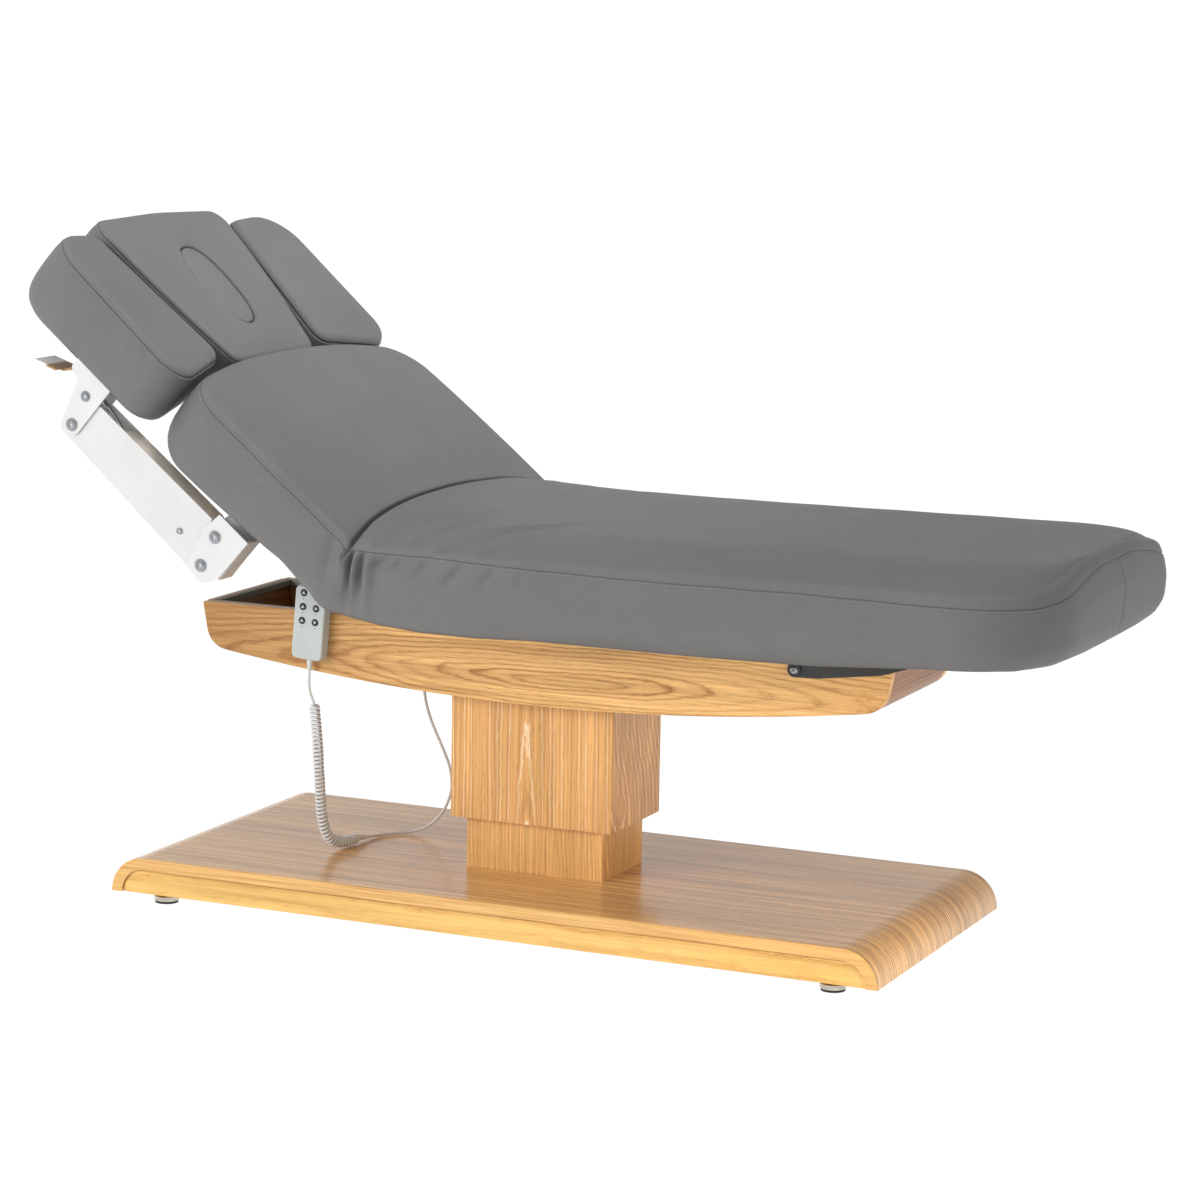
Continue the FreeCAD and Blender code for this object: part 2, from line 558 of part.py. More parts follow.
node(prism("XY", [outline([(48, -141, 14), (160, -177, 300), (270, -201, 300), (380, -209, 40), (380, 209, 40), (270, 201, 300),
                           (160, 177, 300), (48, 141, 14)]), oval(129, 309, 52)], 8, 103), "head_cushion", HEAD)
node(prism("XY", [oval(131, 307, 50)], 8.4, 101), "face_plug", HEAD)
hb = math.radians(V["head_deg"] - V["back_deg"])
pv, pn = -5 * math.sin(hb), -5 * math.cos(hb)
hear = outline([(pv - 12, pn - 12, 11), (95, -10), (95, 6), (26, 6), (pv + 12, pn + 12, 11), (pv - 12, pn + 12, 11)])
plate = prism("XY", [outline([(60, -112), (358, -160, 20), (358, 160, 20), (60, 112)]), oval(123, 315, 58)], 3, 8)
node(fuse(plate, *[prism("XZ", [hear, circle(pv, pn, 5.05)], *span(s, 60, 66)) for s in (1, -1)]), "head_frame", HEAD)

# ================================================================ handset
x0, x1 = V["hs_x"] - V["hs_wid"] / 2, V["hs_x"] + V["hs_wid"] / 2
yb_, yf = V["hs_back"], V["hs_back"] - V["hs_thk"]
ym = yb_ - V["hs_thk"] / 2
cols = [V["hs_x"] - 12.5, V["hs_x"] + 12.5]
rows = [543.5, 519.5, 495.5]
_p = vec(V["hs_x"], 0, V["hs_top"])
LEAN = WORLD.multiply(FreeCAD.Placement(vec(0, 0, 0), FreeCAD.Rotation(vec(0, 1, 0), V["hs_lean"]), _p))
face = lambda r, d: rect(x0 + d, x1 - d, V["hs_lo"] + d, V["hs_top"] - d, r)
keep_front = lambda e: rim("XZ")(e) and e.Vertexes[0].Point.y < -5
front = prism("XZ", [face(10, 0)], yf, ym, 3.0, keep_front)
front = cut(front, prism("XZ", [face(8, 2.4)], yf + 2.6, ym + 1),
            *[rod("y", 6.3, yf - 2, yf + 5, x, z) for x in cols for z in rows])
node(cut(front, rod("z", 4.2, "hs_lo-2", "hs_lo+4", "hs_x+2", ym)), "handset_front", LEAN)
keep_back = lambda e: rim("XZ")(e) and e.Vertexes[0].Point.y > -5
rear = prism("XZ", [face(10, 0)], ym, yb_, 2.0, keep_back)
rear = cut(rear, prism("XZ", [face(8, 2.4)], ym - 1, yb_ - 2.6))
hook = fuse(box(V["hs_x"] - 14, V["hs_x"] + 14, yb_ - 1, -123, tt + 1.6, tt + 4.6),
            box(V["hs_x"] - 14, V["hs_x"] + 14, -126, -123, tt - 15, tt + 2.2))
node(cut(fuse(rear, hook), rod("z", 4.2, "hs_lo-2", "hs_lo+4", "hs_x+2", ym)), "handset_back", LEAN)
k = 0
for r_i, z in enumerate(rows):
    for c_i, x in enumerate(cols):
        k += 1
        node(prism("XZ", [circle(x, z, "btn_dia/2")], yf - 1.3, yf + 6.0, 0.6,
                   lambda e: e.Vertexes[0].Point.y < -5), "button_%d" % k, LEAN)
gl = doc.addObject("Part::Cone", fresh("gland"))
gl.Radius1, gl.Radius2, gl.Height = 3.6, 5.6, 20
gl.Placement = FreeCAD.Placement(vec(V["hs_x"] + 2, ym, V["hs_lo"] - 20), FreeCAD.Rotation())
node(fuse(gl, rod("z", 4.1, "hs_lo-1", "hs_lo+4", "hs_x+2", ym)), "handset_gland", LEAN)

# ================================================================ cord
lead = [(-391.03, -164, 409.26), (-391.9, -164, 394), (-391.6, -162.5, 369), (-385, -158, 352)]
coil = [(-385, -158, 351), (-381, -153, 296), (-383, -143, 240), (-386, -131, 184), (-387, -121, 138),
        (-384, -107, 106), (-377, -80, 91.6), (-370, -50, 91.2), (-369, -26, 91.4)]
tail = [(-369, -26, 91.4), (-368, -4, 87.5), (-361, 32, 83.3), (-342, 66, 83.2), (-312, 90, 84.6), (-281, 96, 101),
        (-255, 93, 132), (-240, 88, 170), (-241, 83, 206), (-255, 80, 242), (-275, 77, 283), (-288, 75, 322),
        (-292, 74, 358), (-292.6, 74, 396.8)]
tube(lead, V["cord_dia"], "cord_lead")
tube(coil, V["coil_dia"], "cord_coil")
tube(tail, V["cord_dia"], "cord_tail")

# ================================================================ check and write
doc.recompute()
bad = []
for o in doc.Objects:
    if "Invalid" in o.State or "Error" in o.State:
        bad.append("%s: %s" % (o.Label, o.State))
lo, hi = [1e9] * 3, [-1e9] * 3
for label, o in nodes.items():
    sh = o.Shape
    if sh.isNull() or not sh.isValid() or not sh.Solids:
        bad.append(label + ": no valid solid")
        continue
    if min(s.Volume for s in sh.Solids) <= 0:
        bad.append(label + ": a solid with no volume")
    b = sh.BoundBox
    if not label.startswith("cord_"):
        lo = [min(p, q) for p, q in zip(lo, (b.XMin, b.YMin, b.ZMin))]
        hi = [max(p, q) for p, q in zip(hi, (b.XMax, b.YMax, b.ZMax))]
print("nodes %d  box %s to %s  middle x %.2f" % (len(nodes), ["%.1f" % v for v in lo], ["%.1f" % v for v in hi],
                                                  (lo[0] + hi[0]) / 2))
if bad:
    raise SystemExit("not written: " + "; ".join(bad))
if len(nodes) > 60:
    raise SystemExit("too many sub-parts")
os.makedirs("parts", exist_ok=True)
for label, o in nodes.items():
    o.Shape.exportStep("parts/%s.step" % label)
    print("%-26s solids %d  volume %.0f" % (label, len(o.Shape.Solids), o.Shape.Volume))
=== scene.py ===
import math
import bpy
import bmesh
import numpy as np
from mathutils import Vector, Matrix

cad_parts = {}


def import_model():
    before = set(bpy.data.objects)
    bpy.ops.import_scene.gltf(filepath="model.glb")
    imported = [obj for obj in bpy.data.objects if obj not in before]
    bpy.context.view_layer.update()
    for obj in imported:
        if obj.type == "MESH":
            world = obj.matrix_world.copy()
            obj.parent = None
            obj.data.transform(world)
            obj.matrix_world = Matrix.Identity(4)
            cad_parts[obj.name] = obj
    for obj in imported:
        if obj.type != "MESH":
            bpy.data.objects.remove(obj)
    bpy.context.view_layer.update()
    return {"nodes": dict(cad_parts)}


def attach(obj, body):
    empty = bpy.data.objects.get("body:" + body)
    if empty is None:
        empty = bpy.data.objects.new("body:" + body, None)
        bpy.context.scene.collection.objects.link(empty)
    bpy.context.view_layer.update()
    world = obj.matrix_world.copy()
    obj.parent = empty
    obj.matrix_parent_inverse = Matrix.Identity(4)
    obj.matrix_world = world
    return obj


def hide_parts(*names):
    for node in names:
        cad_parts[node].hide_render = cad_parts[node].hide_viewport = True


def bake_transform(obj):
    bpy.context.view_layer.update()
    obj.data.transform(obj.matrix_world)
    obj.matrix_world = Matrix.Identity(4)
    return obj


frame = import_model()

scene = bpy.context.scene

# ------------------------------------------------------------------ frames
SHIFT = -68.15                      # base centre from the origin, mm
HIP = (-240.0, 536.0)
KNEE = (491.0, 490.0)
C4, S4 = math.cos(math.radians(40)), math.sin(math.radians(40))
C5, S5 = math.cos(math.radians(44)), math.sin(math.radians(44))


def world(x, y, z):
    """Design millimetres to row metres."""
    return np.stack(np.broadcast_arrays((np.asarray(x) + SHIFT) * 0.001, np.asarray(y) * 0.001, np.asarray(z) * 0.001), -1)


def back(u, y, n):
    u, n = np.asarray(u, float), np.asarray(n, float)
    return world(HIP[0] - u * C4 + n * S4, y, HIP[1] + u * S4 + n * C4)


def head(v, y, n):
    v, n = np.asarray(v, float), np.asarray(n, float)
    ox, oz = HIP[0] - 440 * C4, HIP[1] + 440 * S4
    return world(ox - v * C5 + n * S5, y, oz + v * S5 + n * C5)


# ------------------------------------------------------------------ materials
class Mat:
    def __init__(self, name):
        self.m = bpy.data.materials.new(name)
        self.m.use_nodes = True
        self.t = self.m.node_tree
        self.t.nodes.clear()
        self.out = self.t.nodes.new("ShaderNodeOutputMaterial")
        self.b = self.t.nodes.new("ShaderNodeBsdfPrincipled")
        self.t.links.new(self.b.outputs[0], self.out.inputs[0])

    def node(self, kind, **kw):
        n = self.t.nodes.new("ShaderNode" + kind)
        for k, v in kw.items():
            setattr(n, k, v)
        return n

    def link(self, a, b):
        self.t.links.new(a, b)

    def put(self, n, key, value):
        if hasattr(value, "is_linked") or hasattr(value, "links"):
            self.link(value, n.inputs[key])
        else:
            n.inputs[key].default_value = value

    def coords(self, scale=(1, 1, 1), rot=(0, 0, 0), loc=(0, 0, 0), src=None):
        if src is None:
            src = self.node("TexCoord").outputs["Object"]
        m = self.node("Mapping")
        self.link(src, m.inputs["Vector"])
        m.inputs["Scale"].default_value = scale
        m.inputs["Rotation"].default_value = rot
        m.inputs["Location"].default_value = loc
        return m.outputs[0]

    def noise(self, vec, scale, detail=2.0, rough=0.5):
        n = self.node("TexNoise")
        self.link(vec, n.inputs["Vector"])
        n.inputs["Scale"].default_value = scale
        n.inputs["Detail"].default_value = detail
        n.inputs["Roughness"].default_value = rough
        return n.outputs["Fac"]

    def math(self, op, a, b=0.0, c=None, clamp=False):
        n = self.node("Math", operation=op, use_clamp=clamp)
        self.put(n, 0, a)
        self.put(n, 1, b)
        if c is not None:
            self.put(n, 2, c)
        return n.outputs[0]

    def ramp(self, fac, stops):
        n = self.node("ValToRGB")
        self.link(fac, n.inputs[0])
        el = n.color_ramp.elements
        while len(el) < len(stops):
            el.new(0.5)
        for e, (p, col) in zip(el, stops):
            e.position = p
            e.color = (*col, 1.0) if len(col) == 3 else col
        return n.outputs[0]

    def mix(self, fac, a, b, mode="MIX"):
        n = self.node("Mix", data_type="RGBA", blend_type=mode)
        self.put(n, 0, fac)
        for key, v in ((6, a), (7, b)):
            if hasattr(v, "links"):
                self.link(v, n.inputs[key])
            else:
                n.inputs[key].default_value = (*v, 1.0)
        return n.outputs[2]

    def bump(self, height, strength, distance, normal=None):
        n = self.node("Bump")
        self.link(height, n.inputs["Height"])
        n.inputs["Strength"].default_value = strength
        n.inputs["Distance"].default_value = distance
        if normal is not None:
            self.link(normal, n.inputs["Normal"])
        return n.outputs[0]

    def set(self, **kw):
        names = {"color": "Base Color", "rough": "Roughness", "metal": "Metallic", "normal": "Normal",
                 "spec": "Specular IOR Level", "sheen": "Sheen Weight", "sheen_rough": "Sheen Roughness",
                 "coat": "Coat Weight", "coat_rough": "Coat Roughness", "ior": "IOR"}
        for k, v in kw.items():
            if hasattr(v, "links"):
                self.link(v, self.b.inputs[names[k]])
            elif k == "color":
                self.b.inputs[names[k]].default_value = (*v, 1.0)
            else:
                self.b.inputs[names[k]].default_value = v
        return self.m


def srgb(r, g, b):
    f = lambda c: (c / 255 / 12.92) if c <= 10 else ((c / 255 + 0.055) / 1.055) ** 2.4
    return (f(r), f(g), f(b))


def leather(name, base):
    g = Mat(name)
    p = g.coords()
    cell = g.node("TexVoronoi", feature="F1")
    g.link(p, cell.inputs["Vector"])
    cell.inputs["Scale"].default_value = 620.0
    cell.inputs["Randomness"].default_value = 0.9
    fine = g.noise(p, 1500.0, 2.0)
    broad = g.noise(p, 9.0, 3.0)
    mid = g.noise(p, 60.0, 3.0)
    tone = g.math("ADD", g.math("MULTIPLY", broad, 0.6), g.math("MULTIPLY", mid, 0.4))
    col = g.ramp(tone, [(0.32, tuple(c * 0.94 for c in base)), (0.68, tuple(c * 1.05 for c in base))])
    pit = g.ramp(cell.outputs["Distance"], [(0.0, (1, 1, 1)), (0.75, (0.86, 0.86, 0.86))])
    col = g.mix(1.0, col, pit, "MULTIPLY")
    # the seam attribute darkens the seam line and paints shade into the hip crease
    seam = g.node("Attribute", attribute_name="seam")
    col = g.mix(g.math("MULTIPLY", seam.outputs["Fac"], 0.75, clamp=True), col, tuple(c * 0.22 for c in base))
    h = g.math("ADD", g.math("MULTIPLY", cell.outputs["Distance"], -1.0), g.math("MULTIPLY", fine, 0.35))
    nrm = g.bump(h, 0.2, 0.0005)
    nrm = g.bump(mid, 0.04, 0.004, nrm)
    rough = g.math("ADD", g.math("MULTIPLY", mid, 0.14), 0.47)
    return g.set(color=col, rough=rough, normal=nrm, spec=0.22)


def wood(name, light, dark, grain="x", spacing=0.006, centre=(0.0, 0.06), tilt=(1.0, 0.4), sway=0.03, seed=0.0,
         contrast=1.0, rough0=0.42, edge=None, pores=1.0, fibre=0.7, pale=0.0, varnish=0.1, streak=0.6, shade=None, unroll=None, limed_end=0.0,
         fine=0.0, under=None):
    """Veneer: uneven growth rings of a slightly leaning trunk, cut by the face, with fibres and pores."""
    g = Mat(name)
    rot = {"x": (0, 0, 0), "z": (0, math.radians(90), 0), "y": (0, 0, math.radians(90))}[grain]
    p0 = g.coords(rot=rot)
    if unroll is not None:
        # a bent panel: the sheet runs on round the bend, so height counts as length
        sp = g.node("SeparateXYZ")
        g.link(p0, sp.inputs[0])
        cb = g.node("CombineXYZ")
        ends = g.math("SIGN", sp.outputs[0])
        g.link(g.math("MULTIPLY_ADD", ends, g.math("SUBTRACT", unroll, sp.outputs[2]), sp.outputs[0]), cb.inputs[0])
        g.link(sp.outputs[1], cb.inputs[1])
        cb.inputs[2].default_value = unroll
        p0 = cb.outputs[0]

    if limed_end > 0:
        # another leaf of veneer on the end face, cut close to the heart
        nx = g.node("SeparateXYZ")
        g.link(g.node("NewGeometry").outputs["Normal"], nx.inputs[0])
        onx = g.math("GREATER_THAN", nx.outputs[0], 0.7)
        size = g.node("VectorMath", operation="MULTIPLY_ADD")
        g.link(onx, size.inputs[0])
        size.inputs[1].default_value, size.inputs[2].default_value = (1.6, -0.55, -0.55), (1.0, 1.0, 1.0)
        leaf = g.node("VectorMath", operation="MULTIPLY_ADD")
        g.link(onx, leaf.inputs[0])
        leaf.inputs[1].default_value = (0.0, -0.099, 0.131)
        grown = g.node("VectorMath", operation="MULTIPLY")
        g.link(p0, grown.inputs[0])
        g.link(size.outputs[0], grown.inputs[1])
        g.link(grown.outputs[0], leaf.inputs[2])
        p0 = leaf.outputs[0]

    def push(src, scale, amount, detail, shift):
        nz = g.node("TexNoise")
        g.link(g.coords(scale=scale, loc=shift, src=p0), nz.inputs["Vector"])
        nz.inputs["Scale"].default_value = 1.0
        nz.inputs["Detail"].default_value = detail
        add = g.node("VectorMath", operation="MULTIPLY_ADD")
        g.link(nz.outputs["Color"], add.inputs[0])
        add.inputs[1].default_value = (0.0, amount, amount)
        g.link(src, add.inputs[2])
        return add.outputs[0]

    q = push(p0, (1.7, 4.0, 4.0), sway, 2.0, (seed, seed * 1.7, 3.1))
    q = push(q, (9.0, 30.0, 30.0), spacing * 1.1, 2.0, (seed * 3, 0.4, seed))
    q = push(q, (60.0, 160.0, 160.0), spacing * 0.35, 1.0, (seed * 2, 1.4, seed))
    q = g.coords(rot=(0, math.radians(tilt[0]), math.radians(tilt[1])), loc=(0, -centre[0], -centre[1]), src=q)
    flat = g.node("VectorMath", operation="MULTIPLY")
    g.link(q, flat.inputs[0])
    flat.inputs[1].default_value = (0.0, 1.0, 1.0)
    ln = g.node("VectorMath", operation="LENGTH")
    g.link(flat.outputs[0], ln.inputs[0])
    ring = g.math("DIVIDE", ln.outputs["Value"], spacing)
    part = g.math("FRACT", ring)
    each = g.node("TexWhiteNoise", noise_dimensions="1D")
    g.link(g.math("ADD", g.math("FLOOR", ring), seed), each.inputs["W"])
    line = g.ramp(part, [(0.0, (0.9, 0.9, 0.9)), (0.16, (0.22, 0.22, 0.22)), (0.45, (0.0, 0.0, 0.0)), (0.72, (0.25, 0.25, 0.25)),
                         (0.92, (1, 1, 1)), (1.0, (0.9, 0.9, 0.9))])
    bw0 = g.node("RGBToBW")
    g.link(line, bw0.inputs[0])
    dk = g.math("MULTIPLY", bw0.outputs[0], g.math("MULTIPLY_ADD", each.outputs["Value"], 0.8, 0.25))
    patch = g.noise(g.coords(scale=(2.0, 9.0, 9.0), src=p0, loc=(seed * 2, 1, 5)), 1.0, 2.0)
    dk = g.math("MULTIPLY", dk, g.math("MULTIPLY_ADD", patch, 1.5, 0.15, clamp=True))
    dk = g.math("MULTIPLY", dk, contrast, clamp=True)
    col = g.mix(dk, light, dark)
    if pale > 0:
        # lime left in the open grain of a few rings
        few = g.math("GREATER_THAN", each.outputs["Value"], 0.72)
        if limed_end > 0:
            few = g.math("MAXIMUM", few, g.math("MULTIPLY", g.math("MULTIPLY", onx, limed_end), g.math("GREATER_THAN", each.outputs["Value"], 0.30)))
        lp = g.ramp(part, [(0.30, (0, 0, 0)), (0.42, (1, 1, 1)), (0.55, (0, 0, 0))])
        bw2 = g.node("RGBToBW")
        g.link(lp, bw2.inputs[0])
        col = g.mix(g.math("MULTIPLY", g.math("MULTIPLY", bw2.outputs[0], few), pale), col,
                    (0.93, 0.77, 0.54) if limed_end > 0 else tuple(min(1.0, c * 1.12 + 0.06) for c in light))
    fib = g.noise(g.coords(scale=(5.0, 330.0, 330.0), src=p0, loc=(seed, 0, 0)), 1.0, 3.0, 0.65)
    col = g.mix(fibre, col, g.ramp(fib, [(0.30, (0.80, 0.75, 0.69)), (0.60, (1.05, 1.04, 1.03))]), "MULTIPLY")
    por = g.noise(g.coords(scale=(45.0, 1100.0, 1100.0), src=p0, loc=(0, seed, 0)), 1.0, 1.0, 0.5)
    pmask = g.ramp(por, [(0.58, (0, 0, 0)), (0.68, (1, 1, 1))])
    bw = g.node("RGBToBW")
    g.link(pmask, bw.inputs[0])
    pfac = g.math("MULTIPLY", g.math("MULTIPLY", bw.outputs[0], g.math("MULTIPLY_ADD", bw0.outputs[0], 0.75, 0.25)), 0.55 * pores)
    col = g.mix(pfac, col, tuple(c * 0.62 for c in dark))
    blot = g.noise(g.coords(scale=(1.2, 5.0, 5.0), src=p0, loc=(seed * 2, 1, 0)), 2.5, 3.0)
    col = g.mix(0.6, col, g.ramp(blot, [(0.3, (0.88, 0.86, 0.83)), (0.7, (1.07, 1.06, 1.05))]), "MULTIPLY")
    stk = g.noise(g.coords(scale=(1.4, 75.0, 75.0), src=p0, loc=(seed, 2, seed)), 1.0, 2.0, 0.6)
    col = g.mix(streak, col, g.ramp(stk, [(0.30, (0.76, 0.72, 0.66)), (0.50, (0.97, 0.96, 0.95)), (0.70, (1.16, 1.15, 1.14))]), "MULTIPLY")
    if fine > 0:
        thin = g.noise(g.coords(scale=(2.4, 210.0, 210.0), src=p0, loc=(2, seed, seed)), 1.0, 2.0, 0.6)
        col = g.mix(fine, col, g.ramp(thin, [(0.34, (0.70, 0.65, 0.58)), (0.50, (1.0, 0.99, 0.98)), (0.66, (1.22, 1.22, 1.22))]), "MULTIPLY")
    if under is not None:
        # painted shadow right below the panel: the top of the apron is darkened where the joint lies in shade
        uz = g.node("SeparateXYZ")
        g.link(g.coords(), uz.inputs[0])
        mu = g.node("MapRange")
        g.link(uz.outputs[2], mu.inputs["Value"])
        for key, v in zip(("From Min", "From Max", "To Min", "To Max"), (under[0], under[1], 0.0, 0.85)):
            mu.inputs[key].default_value = v
        col = g.mix(mu.outputs[0], col, tuple(c * 0.35 for c in dark))
    if shade is not None:
        sx = g.node("SeparateXYZ")
        g.link(p0, sx.inputs[0])
        mr = g.node("MapRange")
        g.link(sx.outputs[0], mr.inputs["Value"])
        for key, v in zip(("From Min", "From Max", "To Min", "To Max"), shade):
            mr.inputs[key].default_value = v
        col = g.mix(mr.outputs[0], tuple(c * 0.5 for c in dark), col)
    if edge is not None:
        # cut edge of the panel: a face that looks along Y shows the pale core
        geo = g.node("NewGeometry")
        sep = g.node("SeparateXYZ")
        g.link(geo.outputs["Normal"], sep.inputs[0])
        side = g.math("GREATER_THAN", g.math("ABSOLUTE", sep.outputs[1]), 0.55)
        lay = g.noise(g.coords(scale=(6.0, 1.0, 300.0), loc=(0, 0, seed)), 1.0, 2.0)
        col = g.mix(side, col, g.ramp(lay, [(0.30, edge[1]), (0.62, edge[0])]))
    hgt = g.math("SUBTRACT", g.math("MULTIPLY", fib, 0.5), bw.outputs[0])
    rough = g.math("ADD", g.math("MULTIPLY", fib, 0.16), rough0 - 0.08)
    return g.set(color=col, rough=rough, normal=g.bump(hgt, 0.14, 0.0006), spec=0.35, coat=varnish, coat_rough=0.17)


def painted(name, base, rough=0.38, peel=0.05, wear=None, metal=0.0, scale=260.0):
    g = Mat(name)
    p = g.coords()
    n = g.noise(p, scale, 2.0)
    broad = g.noise(p, 14.0, 3.0)
    col = g.ramp(broad, [(0.3, tuple(c * 0.95 for c in base)), (0.7, tuple(min(1.0, c * 1.03) for c in base))])
    if wear is not None:
        geo = g.node("NewGeometry")
        e = g.ramp(geo.outputs["Pointiness"], [(0.53, (0, 0, 0)), (0.60, (1, 1, 1))])
        col = g.mix(g.math("MULTIPLY", e, 0.35), col, wear)
    r = g.math("ADD", g.math("MULTIPLY", n, 0.10), rough - 0.05)
    return g.set(color=col, rough=r, normal=g.bump(n, peel, 0.0006), metal=metal, spec=0.5)


def powder_with_painted_light(name, base, tints, rough=0.38):
    """Powder coat; faces that look along a given direction of the piece take another tone, painted light that falls on
    those faces (painted shade on some pieces, a painted warm reflection on others).
    """
    g = Mat(name)
    p = g.coords()
    n = g.noise(p, 260.0, 2.0)
    broad = g.noise(p, 14.0, 3.0)
    shade = g.ramp(broad, [(0.3, (0.95, 0.95, 0.95)), (0.7, (1.02, 1.02, 1.02))])
    col = g.mix(1.0, base, shade, "MULTIPLY")
    nr = g.node("TexCoord").outputs["Normal"]
    # each tint paints light onto the faces that look along way: a darker tone is painted shade, a warm tone a painted
    # reflection
    for way, least, tone in tints:
        d = g.node("VectorMath", operation="DOT_PRODUCT")
        g.link(nr, d.inputs[0])
        d.inputs[1].default_value = way
        f = g.node("MapRange")
        f.inputs["From Min"].default_value, f.inputs["From Max"].default_value = least, least + 0.12
        g.link(d.outputs["Value"], f.inputs["Value"])
        painted_light_tone = g.ramp(g.noise(p, 45.0, 3.0), [(0.3, tuple(c * 0.85 for c in tone)), (0.7, tuple(c * 1.1 for c in tone))])
        col = g.mix(f.outputs[0], col, painted_light_tone)
    return g.set(color=col, rough=g.math("ADD", g.math("MULTIPLY", n, 0.10), rough - 0.05), normal=g.bump(n, 0.06, 0.0006), spec=0.45)


def metal(name, base, rough=0.25, brushed=0.4, axis="x"):
    g = Mat(name)
    sc = {"x": (20, 900, 900), "y": (900, 20, 900), "z": (900, 900, 20)}[axis]
    n = g.noise(g.coords(scale=sc), 1.0, 2.0)
    b = g.noise(g.coords(), 40.0, 3.0)
    col = g.ramp(b, [(0.3, tuple(c * 0.86 for c in base)), (0.7, base)])
    r = g.math("ADD", g.math("MULTIPLY", n, brushed * 0.3), rough)
    return g.set(color=col, rough=r, metal=1.0, normal=g.bump(n, 0.05, 0.0003))


def plastic(name, base, rough=0.45, tex=0.08, scale=900.0, spec=0.45):
    g = Mat(name)
    p = g.coords()
    n = g.noise(p, scale, 2.0)
    b = g.noise(p, 25.0, 3.0)
    col = g.ramp(b, [(0.3, tuple(c * 0.94 for c in base)), (0.7, tuple(min(1, c * 1.04) for c in base))])
    return g.set(color=col, rough=g.math("ADD", g.math("MULTIPLY", n, 0.12), rough - 0.06),
                 normal=g.bump(n, tex, 0.0004), spec=spec)


M_LEATHER = leather("leatherette_grey", (0.165, 0.163, 0.159))
M_LEATHER_IN = leather("leatherette_plug", (0.172, 0.170, 0.166))
M_THREAD = plastic("thread_grey", (0.30, 0.297, 0.29), 0.6, 0.3, 2500.0, 0.3)
M_TOP = wood("oak_top", srgb(251, 204, 136), srgb(148, 103, 60), "x", 0.0062, (-0.75, -0.12), (0.3, 0.8), 0.05, 2.3, 1.5,
             edge=(srgb(226, 179, 106), srgb(196, 142, 77)), pores=1.2, fibre=1.0, rough0=0.40, varnish=0.74, streak=1.0, unroll=0.084, fine=0.85)
# painted shadow along the top of the apron boards, under the panel's edge
M_EDGE = wood("ash_pale", srgb(234, 192, 115), srgb(196, 136, 64), "x", 0.0085, (-0.40, 0.02), (1.2, 0.6), 0.03, 7.1, 0.9, pores=0.5,
              under=(0.0555, 0.0592))
M_TRAY = wood("ash_tray", srgb(240, 194, 128), srgb(170, 110, 54), "x", 0.0072, (-0.1236, 0.452), (0.7, 4.5), 0.030, 4.7, 0.85, pores=1.0,
              fibre=0.9, streak=0.75, shade=(-0.66, -0.05, 0.38, 1.0), fine=0.4)
M_COL = wood("ash_column", srgb(221, 172, 111), srgb(166, 110, 58), "z", 0.0066, (-0.09, 0.095), (1.0, 2.6), 0.03, 1.9, 0.40, pores=0.9,
             pale=0.9, fibre=0.9, streak=0.55, limed_end=0.9, fine=0.5)
M_COL_IN = wood("ash_column_low", srgb(226, 180, 117), srgb(166, 110, 56), "z", 0.0066, (-0.06, 0.04), (2.0, 3.4), 0.03, 5.3, 0.50, pores=0.9,
                pale=0.8, fibre=0.9, streak=0.5, fine=0.4)
M_END = wood("ash_tray_ends", srgb(158, 110, 62), srgb(106, 66, 35), "y", 0.007, (0.40, 0.30), (1.0, 0.5), 0.03, 9.3, 0.9)
M_PLY = wood("birch_ply", srgb(206, 172, 124), srgb(170, 130, 84), "x", 0.009, (0.5, 0.3), (1.0, 0.5), 0.04, 3.3, 0.6)
M_WHITE = painted("white_powder", (0.66, 0.66, 0.65), 0.36, 0.06, (0.62, 0.61, 0.58))
M_DARK = painted("charcoal_paint", (0.045, 0.046, 0.048), 0.5, 0.12, (0.10, 0.10, 0.10))
M_BLACK = painted("black_enamel", (0.014, 0.014, 0.015), 0.38, 0.08, (0.06, 0.06, 0.06))
M_ZINC = metal("zinc_plate", (0.66, 0.67, 0.69), 0.26, 0.5)
M_BOLT = metal("bolt_steel", (0.40, 0.42, 0.45), 0.20, 0.4)
M_ROD = metal("ground_rod", (0.70, 0.70, 0.71), 0.14, 0.3)
M_STRIP = plastic("grey_gasket", (0.25, 0.27, 0.245), 0.7, 0.25, 700.0, 0.25)
M_SHELL = plastic("handset_shell", (0.485, 0.52, 0.50), 0.34, 0.05, 1100.0)
M_BUTTON = plastic("button_rubber", (0.016, 0.016, 0.017), 0.42, 0.1, 1800.0)
M_MARK = plastic("printed_mark", (0.72, 0.74, 0.73), 0.5, 0.03, 1500.0)
M_CORD = plastic("cord_pvc", (0.66, 0.655, 0.65), 0.38, 0.06, 600.0)
M_GLAND = plastic("gland_pvc", (0.60, 0.61, 0.60), 0.45, 0.1, 900.0)
M_DRIVE = plastic("drive_housing", (0.035, 0.035, 0.037), 0.55, 0.2, 600.0)
N_WAY, U_WAY = (S4, 0.0, C4), (-C4, 0.0, S4)
# painted warm reflection of the wood on the arm's top web, the faces that look along N_WAY
M_ARM = powder_with_painted_light("arm_white", (0.625, 0.625, 0.62), [(N_WAY, 0.75, (0.86, 0.77, 0.67))])
# painted shade on the bracket faces that look towards the foot and down (along minus U_WAY)
M_BRACKET = powder_with_painted_light("bracket_white", (0.65, 0.65, 0.645), [(tuple(-c for c in U_WAY), 0.7, (0.50, 0.475, 0.44))])
